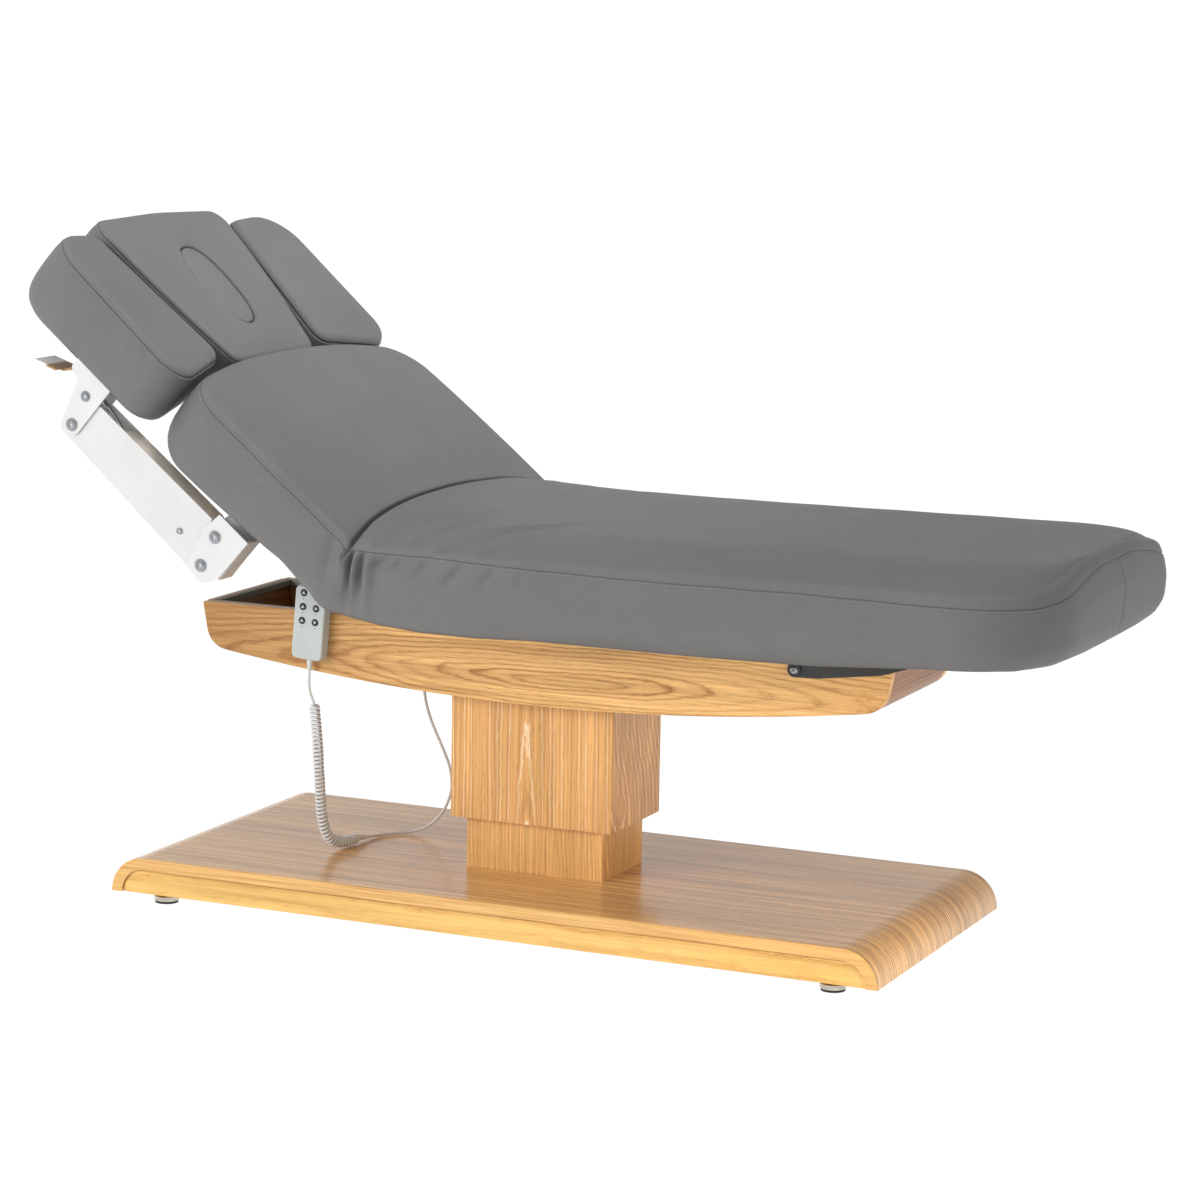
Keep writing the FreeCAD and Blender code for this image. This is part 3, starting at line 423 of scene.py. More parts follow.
# painted shade: the lever is white steel throughout; where u is below 0.657 m it is coloured warm brown, the shaded
# underside picking up the wood's colour
_g = Mat("lever_white")
_sep = _g.node("SeparateXYZ")
_g.link(_g.node("TexCoord").outputs["Object"], _sep.inputs[0])
_u = _g.math("ADD", _g.math("MULTIPLY", _g.math("ADD", _sep.outputs[0], -(HIP[0] + SHIFT) * 0.001), -C4),
             _g.math("MULTIPLY", _g.math("ADD", _sep.outputs[2], -HIP[1] * 0.001), S4))
_tip = _g.node("MapRange")
_tip.inputs["From Min"].default_value, _tip.inputs["From Max"].default_value = 0.657, 0.664
_g.link(_u, _tip.inputs["Value"])
_n = _g.noise(_g.coords(), 260.0, 2.0)
_lever_painted_shade = _g.ramp(_g.noise(_g.coords(), 45.0, 3.0), [(0.3, (0.27, 0.145, 0.05)), (0.7, (0.38, 0.22, 0.09))])
_pale = _g.ramp(_g.noise(_g.coords(), 14.0, 3.0), [(0.3, (0.84, 0.83, 0.81)), (0.7, (0.90, 0.89, 0.87))])
_g.set(color=_g.mix(_tip.outputs[0], _lever_painted_shade, _pale), rough=_g.math("MULTIPLY_ADD", _n, 0.10, 0.33), normal=_g.bump(_n, 0.06, 0.0006), spec=0.45)
M_LEVER = _g.m

# chrome foot on a dark rubber pad, told apart by height
_g = Mat("foot_chrome_rubber")
_sep = _g.node("SeparateXYZ")
_g.link(_g.node("TexCoord").outputs["Object"], _sep.inputs[0])
_low = _g.math("LESS_THAN", _sep.outputs[2], 0.0042)
_n = _g.noise(_g.coords(), 300.0, 2.0)
_tint = _g.ramp(_g.noise(_g.coords(), 60.0, 2.0), [(0.3, (0.46, 0.42, 0.35)), (0.7, (0.66, 0.62, 0.55))])
_g.set(color=_g.mix(_low, _tint, (0.018, 0.018, 0.018)), metal=_g.math("SUBTRACT", 1.0, _low),
       rough=_g.math("ADD", _g.math("MULTIPLY", _low, 0.55), _g.math("MULTIPLY_ADD", _n, 0.08, 0.08)),
       normal=_g.bump(_n, 0.04, 0.0003))
M_FOOT = _g.m


def paint(node, mat):
    o = frame["nodes"][node]
    o.data.materials.clear()
    o.data.materials.append(mat)
    for poly in o.data.polygons:
        poly.material_index = 0


for names, mat in (
        (("base_panel",), M_TOP), (("base_frame_boards",), M_EDGE), (("upper_column_sleeve",), M_COL),
        (("lower_column_cover",), M_COL_IN), (("tray_sides",), M_TRAY), (("tray_floor", "tray_ends"), M_END),
        (("tray_rim_strip",), M_STRIP), (("seat_board", "back_board", "leg_board"), M_PLY),
        (("seat_frame", "back_frame", "head_frame", "lift_outer_tube"), M_DARK), (("lift_inner_tube",), M_ZINC),
        (("lift_motor", "back_actuator", "leg_actuator", "control_box"), M_DRIVE),
        (("back_actuator_rod", "leg_actuator_rod", "gas_spring_rod_near", "gas_spring_rod_far"), M_ROD),
        (("knee_arms", "knee_shaft", "gas_spring_near", "gas_spring_far"), M_BLACK),
        (("wing_link_near", "wing_link_far"), M_WHITE), (("wing_arm_near", "wing_arm_far"), M_ARM),
        (("arm_brackets", "wing_bracket_near", "wing_bracket_far"), M_BRACKET),
        (("release_lever_near", "release_lever_far"), M_LEVER),
        (("handset_front", "handset_back"), M_SHELL), (("handset_gland",), M_GLAND),
        (tuple("button_%d" % i for i in range(1, 7)), M_BUTTON),
        (tuple("levelling_foot_%d" % i for i in range(1, 5)), M_FOOT)):
    for nm in names:
        paint(nm, mat)


# ------------------------------------------------------------------ mesh tools
def mesh(name, co, faces, mat, smooth=True, sharp=None):
    me = bpy.data.meshes.new(name)
    me.from_pydata([tuple(map(float, c)) for c in co], [], [tuple(int(i) for i in f) for f in faces])
    me.validate()
    if smooth:
        me.polygons.foreach_set("use_smooth", [True] * len(me.polygons))
    ob = bpy.data.objects.new(name, me)
    scene.collection.objects.link(ob)
    me.materials.append(mat)
    b = bmesh.new()
    b.from_mesh(me)
    bmesh.ops.recalc_face_normals(b, faces=b.faces)
    if sharp is not None:
        for e in b.edges:
            if len(e.link_faces) == 2 and e.calc_face_angle(0.0) > sharp:
                e.smooth = False
    b.to_mesh(me)
    b.free()
    return ob


def round_loop(corners, step=7.0):
    """Closed polyline of corners (x, y, r), turning left; evenly spaced points."""
    pts = []
    n = len(corners)
    for i in range(n):
        p = np.array(corners[i][:2], float)
        r = corners[i][2]
        a = np.array(corners[i - 1][:2], float) - p
        b = np.array(corners[(i + 1) % n][:2], float) - p
        a, b = a / np.linalg.norm(a), b / np.linalg.norm(b)
        half = math.acos(np.clip(a @ b, -1, 1)) / 2
        t = r / math.tan(half)
        c = p + (a + b) / np.linalg.norm(a + b) * (r / math.sin(half))
        s, e = p + a * t - c, p + b * t - c
        turn = math.pi - 2 * half
        k = max(4, int(round(r * turn / step)))
        sg = math.copysign(1.0, s[0] * e[1] - s[1] * e[0])
        for j in range(k + 1):
            w = sg * turn * j / k
            pts.append(c + np.array([s[0] * math.cos(w) - s[1] * math.sin(w), s[0] * math.sin(w) + s[1] * math.cos(w)]))
    pts = np.array(pts)
    closed = np.vstack([pts, pts[:1]])
    seg = np.linalg.norm(np.diff(closed, axis=0), axis=1)
    cum = np.concatenate([[0], np.cumsum(seg)])
    m = int(round(cum[-1] / step))
    q = np.linspace(0, cum[-1], m, endpoint=False)
    return np.stack([np.interp(q, cum, closed[:, 0]), np.interp(q, cum, closed[:, 1])], -1)


def inset(corners, d):
    """Corners (x, y, r) of a convex outline that turns left, moved in by d."""
    n = len(corners)
    lines = []
    for i in range(n):
        a, b = np.array(corners[i][:2], float), np.array(corners[(i + 1) % n][:2], float)
        t = (b - a) / np.linalg.norm(b - a)
        lines.append((a + d * np.array([-t[1], t[0]]), t))
    out = []
    for i in range(n):
        (a, t), (b, w) = lines[i - 1], lines[i]
        k = np.linalg.solve(np.array([t, -w]).T, b - a)
        q = a + k[0] * t
        out.append((q[0], q[1], max(corners[i][2] - d * 0.8, 8.0)))
    return out


def loop_normals(loop):
    t = np.roll(loop, -1, 0) - np.roll(loop, 1, 0)
    t /= np.linalg.norm(t, axis=1)[:, None]
    n = np.stack([t[:, 1], -t[:, 0]], -1)
    area = np.sum(loop[:, 0] * np.roll(loop[:, 1], -1) - np.roll(loop[:, 0], -1) * loop[:, 1])
    return n if area > 0 else -n


def strip(a, b, m, faces, flip=False):
    """Quads between two closed loops of m points that start at a and b."""
    for i in range(m):
        j = (i + 1) % m
        faces.append((a + i, a + j, b + j, b + i) if not flip else (a + i, b + i, b + j, a + j))


def mark(ob, values):
    """Vertex attribute that the cover material reads: it darkens the seam line, and on the mattress cover it also
    carries the painted shade of the hip crease.
    """
    at = ob.data.attributes.new("seam", "FLOAT", "POINT")
    at.data.foreach_set("value", np.asarray(values, float))


def ripple(x, y, k):
    """Small even unevenness, 1 at most."""
    return (np.sin(x * 0.021 + k) * np.sin(y * 0.017 + 2.1 * k) + 0.6 * np.sin(x * 0.043 - y * 0.031 + 3.3 * k)
            + 0.4 * np.sin(x * 0.011 + y * 0.057 + 1.7 * k)) / 2.0


def stitches(name, path, out, mat, pitch=0.0056, length=0.0036, r=0.0005, closed=True, lift=0.0002):
    """A row of short threads laid along a path of points; out points off the cloth."""
    p = np.vstack([path, path[:1]]) if closed else path
    o = np.vstack([out, out[:1]]) if closed else out
    cum = np.concatenate([[0], np.cumsum(np.linalg.norm(np.diff(p, axis=0), axis=1))])
    n = int(cum[-1] / pitch)
    co, faces = [], []
    for k in range(n):
        s0 = (k + 0.5) * cum[-1] / n
        ends = []
        for s in (s0 - length / 2, s0, s0 + length / 2):
            s = min(max(s, 0), cum[-1])
            ends.append((np.array([np.interp(s, cum, p[:, c]) for c in range(3)]),
                         np.array([np.interp(s, cum, o[:, c]) for c in range(3)])))
        d = ends[2][0] - ends[0][0]
        d /= np.linalg.norm(d) + 1e-12
        base = len(co)
        for idx, (c, nn) in enumerate(ends):
            nn = nn / (np.linalg.norm(nn) + 1e-12)
            side = np.cross(d, nn)
            rr = r * (0.55, 1.0, 0.55)[idx]
            up = lift + r * (0.1, 0.55, 0.1)[idx]
            for a in range(6):
                w = a * math.pi / 3
                co.append(c + nn * (up + rr * math.sin(w)) + side * rr * math.cos(w))
        for ring in (0, 1):
            for a in range(6):
                b2 = (a + 1) % 6
                faces.append((base + ring * 6 + a, base + ring * 6 + b2, base + ring * 6 + 6 + b2, base + ring * 6 + 6 + a))
        faces.append(tuple(base + a for a in reversed(range(6))))
        faces.append(tuple(base + 12 + a for a in range(6)))
    return mesh(name, np.array(co), faces, mat)


def lathe(name, profile, centre, axis, mat, seg=40):
    """Turned piece: profile of (radius, height along axis), metres."""
    ax = Vector(axis).normalized()
    q = Vector((0, 0, 1)).rotation_difference(ax).to_matrix()
    co, faces = [], []
    for r, h in profile:
        for k in range(seg):
            a = 2 * math.pi * k / seg
            co.append(Vector(centre) + q @ Vector((r * math.cos(a), r * math.sin(a), h)))
    for i in range(len(profile) - 1):
        strip(i * seg, (i + 1) * seg, seg, faces)
    faces.append(tuple(reversed(range(seg))))
    faces.append(tuple((len(profile) - 1) * seg + k for k in range(seg)))
    return mesh(name, co, faces, mat, sharp=0.7)


def socket_bolt(name, centre, axis, r, h, body, washer=True):
    """Button head with a hexagon socket, on a washer."""
    prof = []
    if washer:
        prof += [(r * 1.28, 0.0), (r * 1.28, h * 0.18), (r * 1.04, h * 0.20)]
    prof += [(r, h * 0.22), (r, h * 0.55), (r * 0.96, h * 0.74), (r * 0.86, h * 0.90), (r * 0.72, h), (r * 0.60, h * 1.0)]
    ax = Vector(axis).normalized()
    q = Vector((0, 0, 1)).rotation_difference(ax).to_matrix()
    seg = 36
    co, faces = [], []
    for pr, ph in prof:
        for k in range(seg):
            a = 2 * math.pi * k / seg
            co.append(Vector(centre) + q @ Vector((pr * math.cos(a), pr * math.sin(a), ph)))
    for i in range(len(prof) - 1):
        strip(i * seg, (i + 1) * seg, seg, faces)
    last = (len(prof) - 1) * seg
    for depth in (h * 1.0, h * 0.35):
        for k in range(seg):
            a = 2 * math.pi * k / seg
            hexr = r * 0.46 / math.cos((a % (math.pi / 3)) - math.pi / 6)
            co.append(Vector(centre) + q @ Vector((hexr * math.cos(a), hexr * math.sin(a), depth)))
    strip(last, last + seg, seg, faces)
    strip(last + seg, last + 2 * seg, seg, faces)
    faces.append(tuple(last + 2 * seg + k for k in range(seg)))
    faces.append(tuple(reversed(range(seg))))
    ob = mesh(name, co, faces, M_BOLT, sharp=0.5)
    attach(ob, body)
    return ob


# ------------------------------------------------------------------ camera
yaw, pitch, roll = math.radians(-23.82), math.radians(9.45), math.radians(1.06)
fw = Vector((math.sin(yaw) * math.cos(pitch), math.cos(yaw) * math.cos(pitch), -math.sin(pitch)))
rt = Vector((math.cos(yaw), -math.sin(yaw), 0.0))
up = rt.cross(fw)
r2 = rt * math.cos(roll) + up * math.sin(roll)
u2 = up * math.cos(roll) - rt * math.sin(roll)
cam_data = bpy.data.cameras.new("camera")
cam = bpy.data.objects.new("camera", cam_data)
scene.collection.objects.link(cam)
m = Matrix((r2, u2, -fw)).transposed().to_4x4()
m.translation = Vector((2.616 + SHIFT * 0.001, -5.741, 1.5905))
cam.matrix_world = m
cam_data.sensor_width = 36.0
cam_data.lens = 112.96
cam_data.shift_x, cam_data.shift_y = -0.0023, 0.0004
cam_data.clip_end = 3000
scene.camera = cam

# ------------------------------------------------------------------ stage and light
floor_mat = Mat("studio_floor")
floor_mat.set(color=(0.10, 0.10, 0.10), rough=1.0, spec=0.0)
floor_mat.b.inputs["Emission Color"].default_value = (1, 1, 1, 1)
floor_mat.b.inputs["Emission Strength"].default_value = 0.98
fl = mesh("studio_floor", [(-900, -900, -0.0004), (900, -900, -0.0004), (900, 900, -0.0004), (-900, 900, -0.0004)],
          [(0, 1, 2, 3)], floor_mat.m, smooth=False)
wd = bpy.data.worlds.new("studio")
scene.world = wd
wd.use_nodes = True
wt = wd.node_tree
bg = wt.nodes["Background"]
tc_ = wt.nodes.new("ShaderNodeTexCoord")
dot = wt.nodes.new("ShaderNodeVectorMath")
dot.operation = "DOT_PRODUCT"
dot.inputs[1].default_value = (-0.50, -0.84, -0.20)
wt.links.new(tc_.outputs["Generated"], dot.inputs[0])
rm = wt.nodes.new("ShaderNodeMapRange")
rm.inputs["From Min"].default_value, rm.inputs["From Max"].default_value = -1.0, 1.0
rm.inputs["To Min"].default_value, rm.inputs["To Max"].default_value = 0.30, 0.90
wt.links.new(dot.outputs["Value"], rm.inputs["Value"])
bg.inputs[0].default_value = (1, 1, 1, 1)
sepw = wt.nodes.new("ShaderNodeSeparateXYZ")
wt.links.new(tc_.outputs["Generated"], sepw.inputs[0])


def wmath(op, a, b, clamp=False):
    n = wt.nodes.new("ShaderNodeMath")
    n.operation, n.use_clamp = op, clamp
    for i, v in enumerate((a, b)):
        if hasattr(v, "links"):
            wt.links.new(v, n.inputs[i])
        else:
            n.inputs[i].default_value = v
    return n.outputs[0]


# white backdrop behind, bright near the horizon
behind = wmath("MULTIPLY", wmath("SUBTRACT", sepw.outputs[1], 0.15), 2.0, True)
low = wmath("SUBTRACT", 1.0, wmath("MULTIPLY", wmath("ABSOLUTE", sepw.outputs[2], 0.0), 2.6), True)
drop = wmath("MULTIPLY", wmath("MULTIPLY", behind, low), 0.75)
wt.links.new(wmath("ADD", rm.outputs[0], drop), bg.inputs[1])


def area(name, loc, target, size, power, col=(1, 1, 1), spread=180.0):
    d = bpy.data.lights.new(name, "AREA")
    d.spread = math.radians(spread)
    d.shape, d.size, d.size_y, d.energy, d.color = "RECTANGLE", size[0], size[1], power, col
    o = bpy.data.objects.new(name, d)
    scene.collection.objects.link(o)
    o.location = loc
    o.rotation_euler = (Vector(target) - Vector(loc)).to_track_quat("-Z", "Y").to_euler()
    return o


key_light = area("key_softbox", (-3.4, -5.4, 2.2), (0, 0, 0.6), (3.2, 2.4), 206)
key_light.visible_glossy = False
area("top_softbox", (-1.2, -0.6, 4.6), (-0.6, 0, 0.7), (2.4, 2.0), 15)
area("right_softbox", (2.6, 0.2, 5.0), (-1.0, 0.1, 1.0), (2.6, 2.2), 55)
base_light = area("base_softbox", (1.36, -0.62, 0.30), (0.36, 0.0, 0.10), (0.5, 0.35), 0.58, (1.0, 0.78, 0.38), spread=52.0)
base_light.visible_glossy = False                       # no mirror image of it in the lacquer
area("head_softbox", (0.9, 0.5, 3.2), (-0.88, 0.12, 1.05), (1.0, 1.0), 5.6, spread=54.0)
scene.view_settings.view_transform = "Standard"
scene.view_settings.look = "None"


# ------------------------------------------------------------------ handset cord
def spline_points(name, pts):
    """Points read from the NURBS spline that has these control points."""
    cu = bpy.data.curves.new(name, "CURVE")
    cu.dimensions = "3D"
    cu.resolution_u = 24
    sp = cu.splines.new("NURBS")
    sp.points.add(len(pts) - 1)
    for p, c in zip(sp.points, pts):
        p.co = (*world(*c), 1.0)
    sp.order_u = 3
    sp.use_endpoint_u = True
    sp.resolution_u = 24
    ob = bpy.data.objects.new(name, cu)
    scene.collection.objects.link(ob)
    bpy.context.view_layer.update()
    me = bpy.data.meshes.new_from_object(ob)
    out = np.array([v.co[:] for v in me.vertices])
    bpy.data.objects.remove(ob)
    bpy.data.meshes.remove(me)
    bpy.data.curves.remove(cu)
    return out


def tube(name, path, r, mat, seg=10):
    """Mesh tube along points, with frames carried along the path."""
    path = np.asarray(path, float)
    t = np.gradient(path, axis=0)
    t /= np.linalg.norm(t, axis=1)[:, None]
    n = np.cross(t[0], [0.3, 1.0, 0.2])
    n /= np.linalg.norm(n)
    rr = np.broadcast_to(np.asarray(r, float), (len(path),))
    co, faces = [], []
    ang = np.arange(seg) * 2 * math.pi / seg
    for i in range(len(path)):
        n = n - t[i] * (n @ t[i])
        n /= np.linalg.norm(n)
        b = np.cross(t[i], n)
        for a in ang:
            co.append(path[i] + rr[i] * (n * math.cos(a) + b * math.sin(a)))
    for i in range(len(path) - 1):
        strip(i * seg, (i + 1) * seg, seg, faces)
    faces.append(tuple(reversed(range(seg))))
    faces.append(tuple((len(path) - 1) * seg + k for k in range(seg)))
    return mesh(name, co, faces, mat)


LEAD = [(-391.03, -164, 409.26), (-391.9, -164, 394), (-391.6, -162.5, 369), (-385, -158, 352)]
COIL = [(-385, -158, 351), (-381, -153, 296), (-383, -143, 240), (-386, -131, 184), (-387, -121, 138),
        (-384, -107, 106), (-377, -80, 91.6), (-370, -50, 91.2), (-369, -26, 91.4)]
TAIL = [(-369, -26, 91.4), (-368, -4, 87.5), (-361, 32, 83.3), (-342, 66, 83.2), (-312, 90, 84.6), (-281, 96, 101),
        (-255, 93, 132), (-240, 88, 170), (-241, 83, 206), (-255, 80, 242), (-275, 77, 283), (-288, 75, 322),
        (-292, 74, 358), (-292.6, 74, 396.8)]
WIRE = 0.0026
lead = spline_points("lead_line", LEAD)
axis_line = spline_points("coil_line", COIL)
tail = spline_points("tail_line", TAIL)
cum = np.concatenate([[0], np.cumsum(np.linalg.norm(np.diff(axis_line, axis=0), axis=1))])
turns, per = 46, 18
k = np.arange(turns * per + 1)
s = cum[-1] * k / (turns * per)
ctr = np.stack([np.interp(s, cum, axis_line[:, c]) for c in range(3)], -1)
tan = np.gradient(ctr, axis=0)
for _ in range(3):
    tan[1:-1] = (tan[:-2] + tan[1:-1] + tan[2:]) / 3
tan /= np.linalg.norm(tan, axis=1)[:, None]
nrm = np.array([1.0, 0.0, 0.0])
radius = 0.0105 - WIRE - 0.0001
grow = np.clip(np.minimum(k, k[-1] - k) / (0.75 * per), 0, 1)
grow = grow * grow * (3 - 2 * grow)
helix = []
for i in range(len(k)):
    nrm = nrm - tan[i] * (nrm @ tan[i])
    nrm /= np.linalg.norm(nrm)
    bn = np.cross(tan[i], nrm)
    a = 2 * math.pi * k[i] / per
    wob = 1.0 + 0.03 * math.sin(k[i] * 0.037) + 0.02 * math.sin(k[i] * 0.011 + 1.0)
    helix.append(ctr[i] + radius * min(wob, 1.0) * grow[i] * (nrm * math.cos(a) + bn * math.sin(a)))
helix = np.array(helix)
path = np.vstack([lead[:-1], helix, tail[1:]])
keep = [0]
for i in range(1, len(path)):
    if np.linalg.norm(path[i] - path[keep[-1]]) > 0.0009:
        keep.append(i)
path = path[keep]
for _ in range(2):
    path[1:-1] = path[1:-1] * 0.5 + (path[:-2] + path[2:]) * 0.25
cord = tube("handset_cord", path, WIRE, M_CORD, 10)
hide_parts("cord_lead", "cord_coil", "cord_tail")
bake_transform(cord)
cut_at = np.concatenate([[0], np.cumsum(np.linalg.norm(np.diff(tail, axis=0), axis=1))])
sl = tail[(cut_at > 0.001) & (cut_at < 0.030)]
sleeve = tube("cord_end_sleeve", sl, np.interp(np.linspace(0, 1, len(sl)), [0, 0.06, 0.85, 1], [0.0046, 0.0052, 0.0046, 0.0034]),
              M_GLAND, 18)
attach(sleeve, "base")
tuple(world(-391.03, -164, 409.26))


# ------------------------------------------------------------------ mattress: back, seat and legs
def polyline(pts, step=2.0, smooth=0.0):
    pts = np.array(pts, float)
    c = np.concatenate([[0], np.cumsum(np.linalg.norm(np.diff(pts, axis=0), axis=1))])
    n = int(c[-1] / step) + 1
    q = np.linspace(0, c[-1], n)
    out = np.stack([np.interp(q, c, pts[:, 0]), np.interp(q, c, pts[:, 1])], -1)
    if smooth > 0:
        w = int(smooth / step)
        ker = np.hanning(2 * w + 3)[1:-1]
        ker /= ker.sum()
        pad = np.vstack([2 * out[0] - out[w:0:-1], out, 2 * out[-1] - out[-2:-w - 2:-1]])
        out = np.stack([np.convolve(pad[:, i], ker, "valid") for i in range(2)], -1)
    return out


def bxz(u, n):
    return (HIP[0] - u * C4 + n * S4, HIP[1] + u * S4 + n * C4)


FOOT = 984.0
top_line = polyline([(FOOT + 12, 673), (-190, 673), bxz(150, 136), bxz(300, 132), bxz(520, 125)], 1.5, 16.0)
bot_line = polyline([(FOOT + 12, 550), (930, 549), (800, 546), (600, 541), (420, 538), (111, 538), (23, 540), (-67, 546), (-140, 555), (-200, 566), (-240, 570), (-264, 578),
                     (-284, 590), (-301, 605), bxz(130, 17), bxz(160, 12), bxz(200, 9), bxz(240, 5), bxz(306, -1),
                     bxz(380, -6), bxz(520, -6)], 1.5, 26.0)


def arc_of(line):
    return np.concatenate([[0], np.cumsum(np.linalg.norm(np.diff(line, axis=0), axis=1))])


ta, ba = arc_of(top_line), arc_of(bot_line)


def at_x(line, arc, x):
    return float(np.interp(-x, -line[:, 0], arc))


def at_u(line, arc, u):
    uu = -(line[:, 0] - HIP[0]) * C4 + (line[:, 1] - HIP[1]) * S4
    k = np.argmax(line[:, 0] < -150)
    return float(np.interp(u, uu[k:], arc[k:]))


tc = at_x(top_line, ta, -190.0)
pairs_t = [0, at_x(top_line, ta, 60.0), tc, at_u(top_line, ta, 160.0), at_u(top_line, ta, 515)]
pairs_b = [0, at_x(bot_line, ba, 60.0), at_x(bot_line, ba, -240.0), at_u(bot_line, ba, 150.0), at_u(bot_line, ba, 515)]
T0 = 12.0                            # arc place of the foot end


def station(t):
    """Top and bottom points at a place t along the top line."""
    tx, tz = np.interp(t, ta, top_line[:, 0]), np.interp(t, ta, top_line[:, 1])
    tb = np.interp(t, pairs_t, pairs_b)
    return tx, tz, np.interp(tb, ba, bot_line[:, 0]), np.interp(tb, ba, bot_line[:, 1])


INS = 24.0
R_FOOT = 165.0 - INS
END_U = 483.0
t_end = at_u(top_line, ta, END_U - INS)
th = np.linspace(0, math.pi / 2, 17)
rows = list(T0 + INS + R_FOOT * (1 - np.cos(th)))
t = rows[-1]
while t < tc - 345:
    t += 11.0
    rows.append(t)
while t < tc - 120:
    t += 4.2
    rows.append(t)
while t < tc - 40:
    t += 3.0
    rows.append(t)
while t < tc - 13:
    t += 2.4
    rows.append(t)
while t < tc + 13:
    t += 1.2
    rows.append(t)
while t < tc + 40:
    t += 2.4
    rows.append(t)
while t < tc + 130:
    t += 5.0
    rows.append(t)
stop = t_end - 58
while t < stop - 11:
    t += 10.0
    rows.append(t)
rows += list(t_end - 58 + 58 * np.sin(np.linspace(0.0, math.pi / 2, 11)))[0 if t < stop - 4 else 1:]
rows = np.array(rows)
cols = np.unique(np.concatenate([np.linspace(-1, 1, 65), [-0.011, -0.006, -0.002, 0.002, 0.006, 0.011]]))
N, Mc = len(rows), len(cols)
W_IN = 400.0 - INS
half_w = np.full(N, W_IN)
e = rows - (T0 + INS)
sel = e < R_FOOT
half_w[sel] = W_IN - R_FOOT + np.sqrt(np.maximum(0, R_FOOT ** 2 - (R_FOOT - e[sel]) ** 2))
e = t_end - rows
RH = 58.0
sel = e < RH
half_w[sel] = W_IN - RH + np.sqrt(np.maximum(0, RH ** 2 - (RH - e[sel]) ** 2))
half_w -= 10.0 * np.clip((rows - (tc + 150)) / (t_end - tc - 150), 0, 1) ** 2
tt, bb = np.meshgrid(rows, cols, indexing="ij")
yy = bb * half_w[:, None]
# arched head edge
u0 = tc + 170
arch = 52.0 * np.abs(yy / 400.0) ** 2.4
tt = np.where(tt > u0, u0 + (tt - u0) * (t_end - arch - u0) / (t_end - u0), tt)
# foot end bows out a little in the middle
bow = 5.0 * np.clip(1 - (yy / 300.0) ** 2, 0, 1) * np.clip(1 - (tt - T0) / 160.0, 0, 1)
tt = tt - bow
# the end panel is cut with an arch: its seam lies further in and follows the crown
arch_f = np.clip(1 - (np.abs(yy) / 345.0) ** 2, 0, 1)
set_in = 14.0 * arch_f * np.clip(1 - (tt - T0 - INS) / 130.0, 0, 1)
tt = tt + set_in

# boundary loop: foot edge, far side, head edge, near side
idx = [(0, j) for j in range(Mc)] + [(i, Mc - 1) for i in range(1, N)] + [(N - 1, j) for j in range(Mc - 2, -1, -1)] \
    + [(i, 0) for i in range(N - 2, 0, -1)]
bl = np.array([(tt[i, j], yy[i, j]) for i, j in idx])
bn = loop_normals(bl)
# even the normals over the grid's corners
for _ in range(2):
    bn = bn + np.roll(bn, 1, 0) + np.roll(bn, -1, 0)
    bn /= np.linalg.norm(bn, axis=1)[:, None]
ML = len(bl)

PROFILE = [(6, 0.5), (11, 1.8), (15, 3.9), (17.8, 6.8), (19.4, 9.6), (19.9, 11.2), (18.2, 12.2), (20.2, 13.2), (21.2, 15.0),
           (22.4, 20), (22.95, 24.5), (23.4, 29), (23.85, 35.5), (24.2, 42), (24.33, 50), (24.4, 58), (24.2, 67), (23.8, 76), (22.4, 94), (19.8, 108), (15.6, 119), (10, 127.5), (4.5, 132.6)]
SEAM_K, STITCH_K = 6, 8


def place(t, y, d, lift=0.0):
    """Design point at arc place t, across y, d below the top (of 134.5 at full thickness)."""
    tx, tz, bx, bz = station(t)
    thick = np.hypot(tx - bx, tz - bz)
    d = np.asarray(d, float) + np.interp(t, [12, 276, 406, 676, 811, 916, 1020], [13.0, 9.5, 7.0, 7.0, 5.5, 4.0, 0.0]) \
        * np.clip((np.abs(y) - 80.0) / 250.0, 0, 1) * np.clip(d / 10.0, 0, 1) * np.clip((110.0 - d) / 60.0, 0, 1)
    dd = np.where(d < 26, d, 26 + (d - 26) * (thick - 26) / (134.5 - 26))
    f = (dd - lift) / thick
    return tx + (bx - tx) * f, y + 0 * tx, tz + (bz - tz) * f


# lines of the folds: distance from the crease along the seat, place across
FOLDS = (([(-36, -390), (-50, -348), (-61, -300), (-84, -248), (-112, -197), (-160, -120)], 8.0, 7.0, True),
         ([(-104, -372), (-123, -317), (-141, -266), (-168, -205)], 6.0, 7.5, True),
         ([(-150, -394), (-175, -344), (-205, -296), (-237, -252), (-268, -207), (-320, -140)], 7.0, 7.5, True),
         ([(-226, -394), (-239, -376), (-257, -342), (-290, -295)], 4.8, 6.5, False),
         ([(-250, -394), (-270, -380), (-290, -351), (-330, -305)], 4.2, 6.5, True),
         ([(-20, -330), (-34, -260), (-60, -180), (-100, -100)], 4.5, 8.0, False))


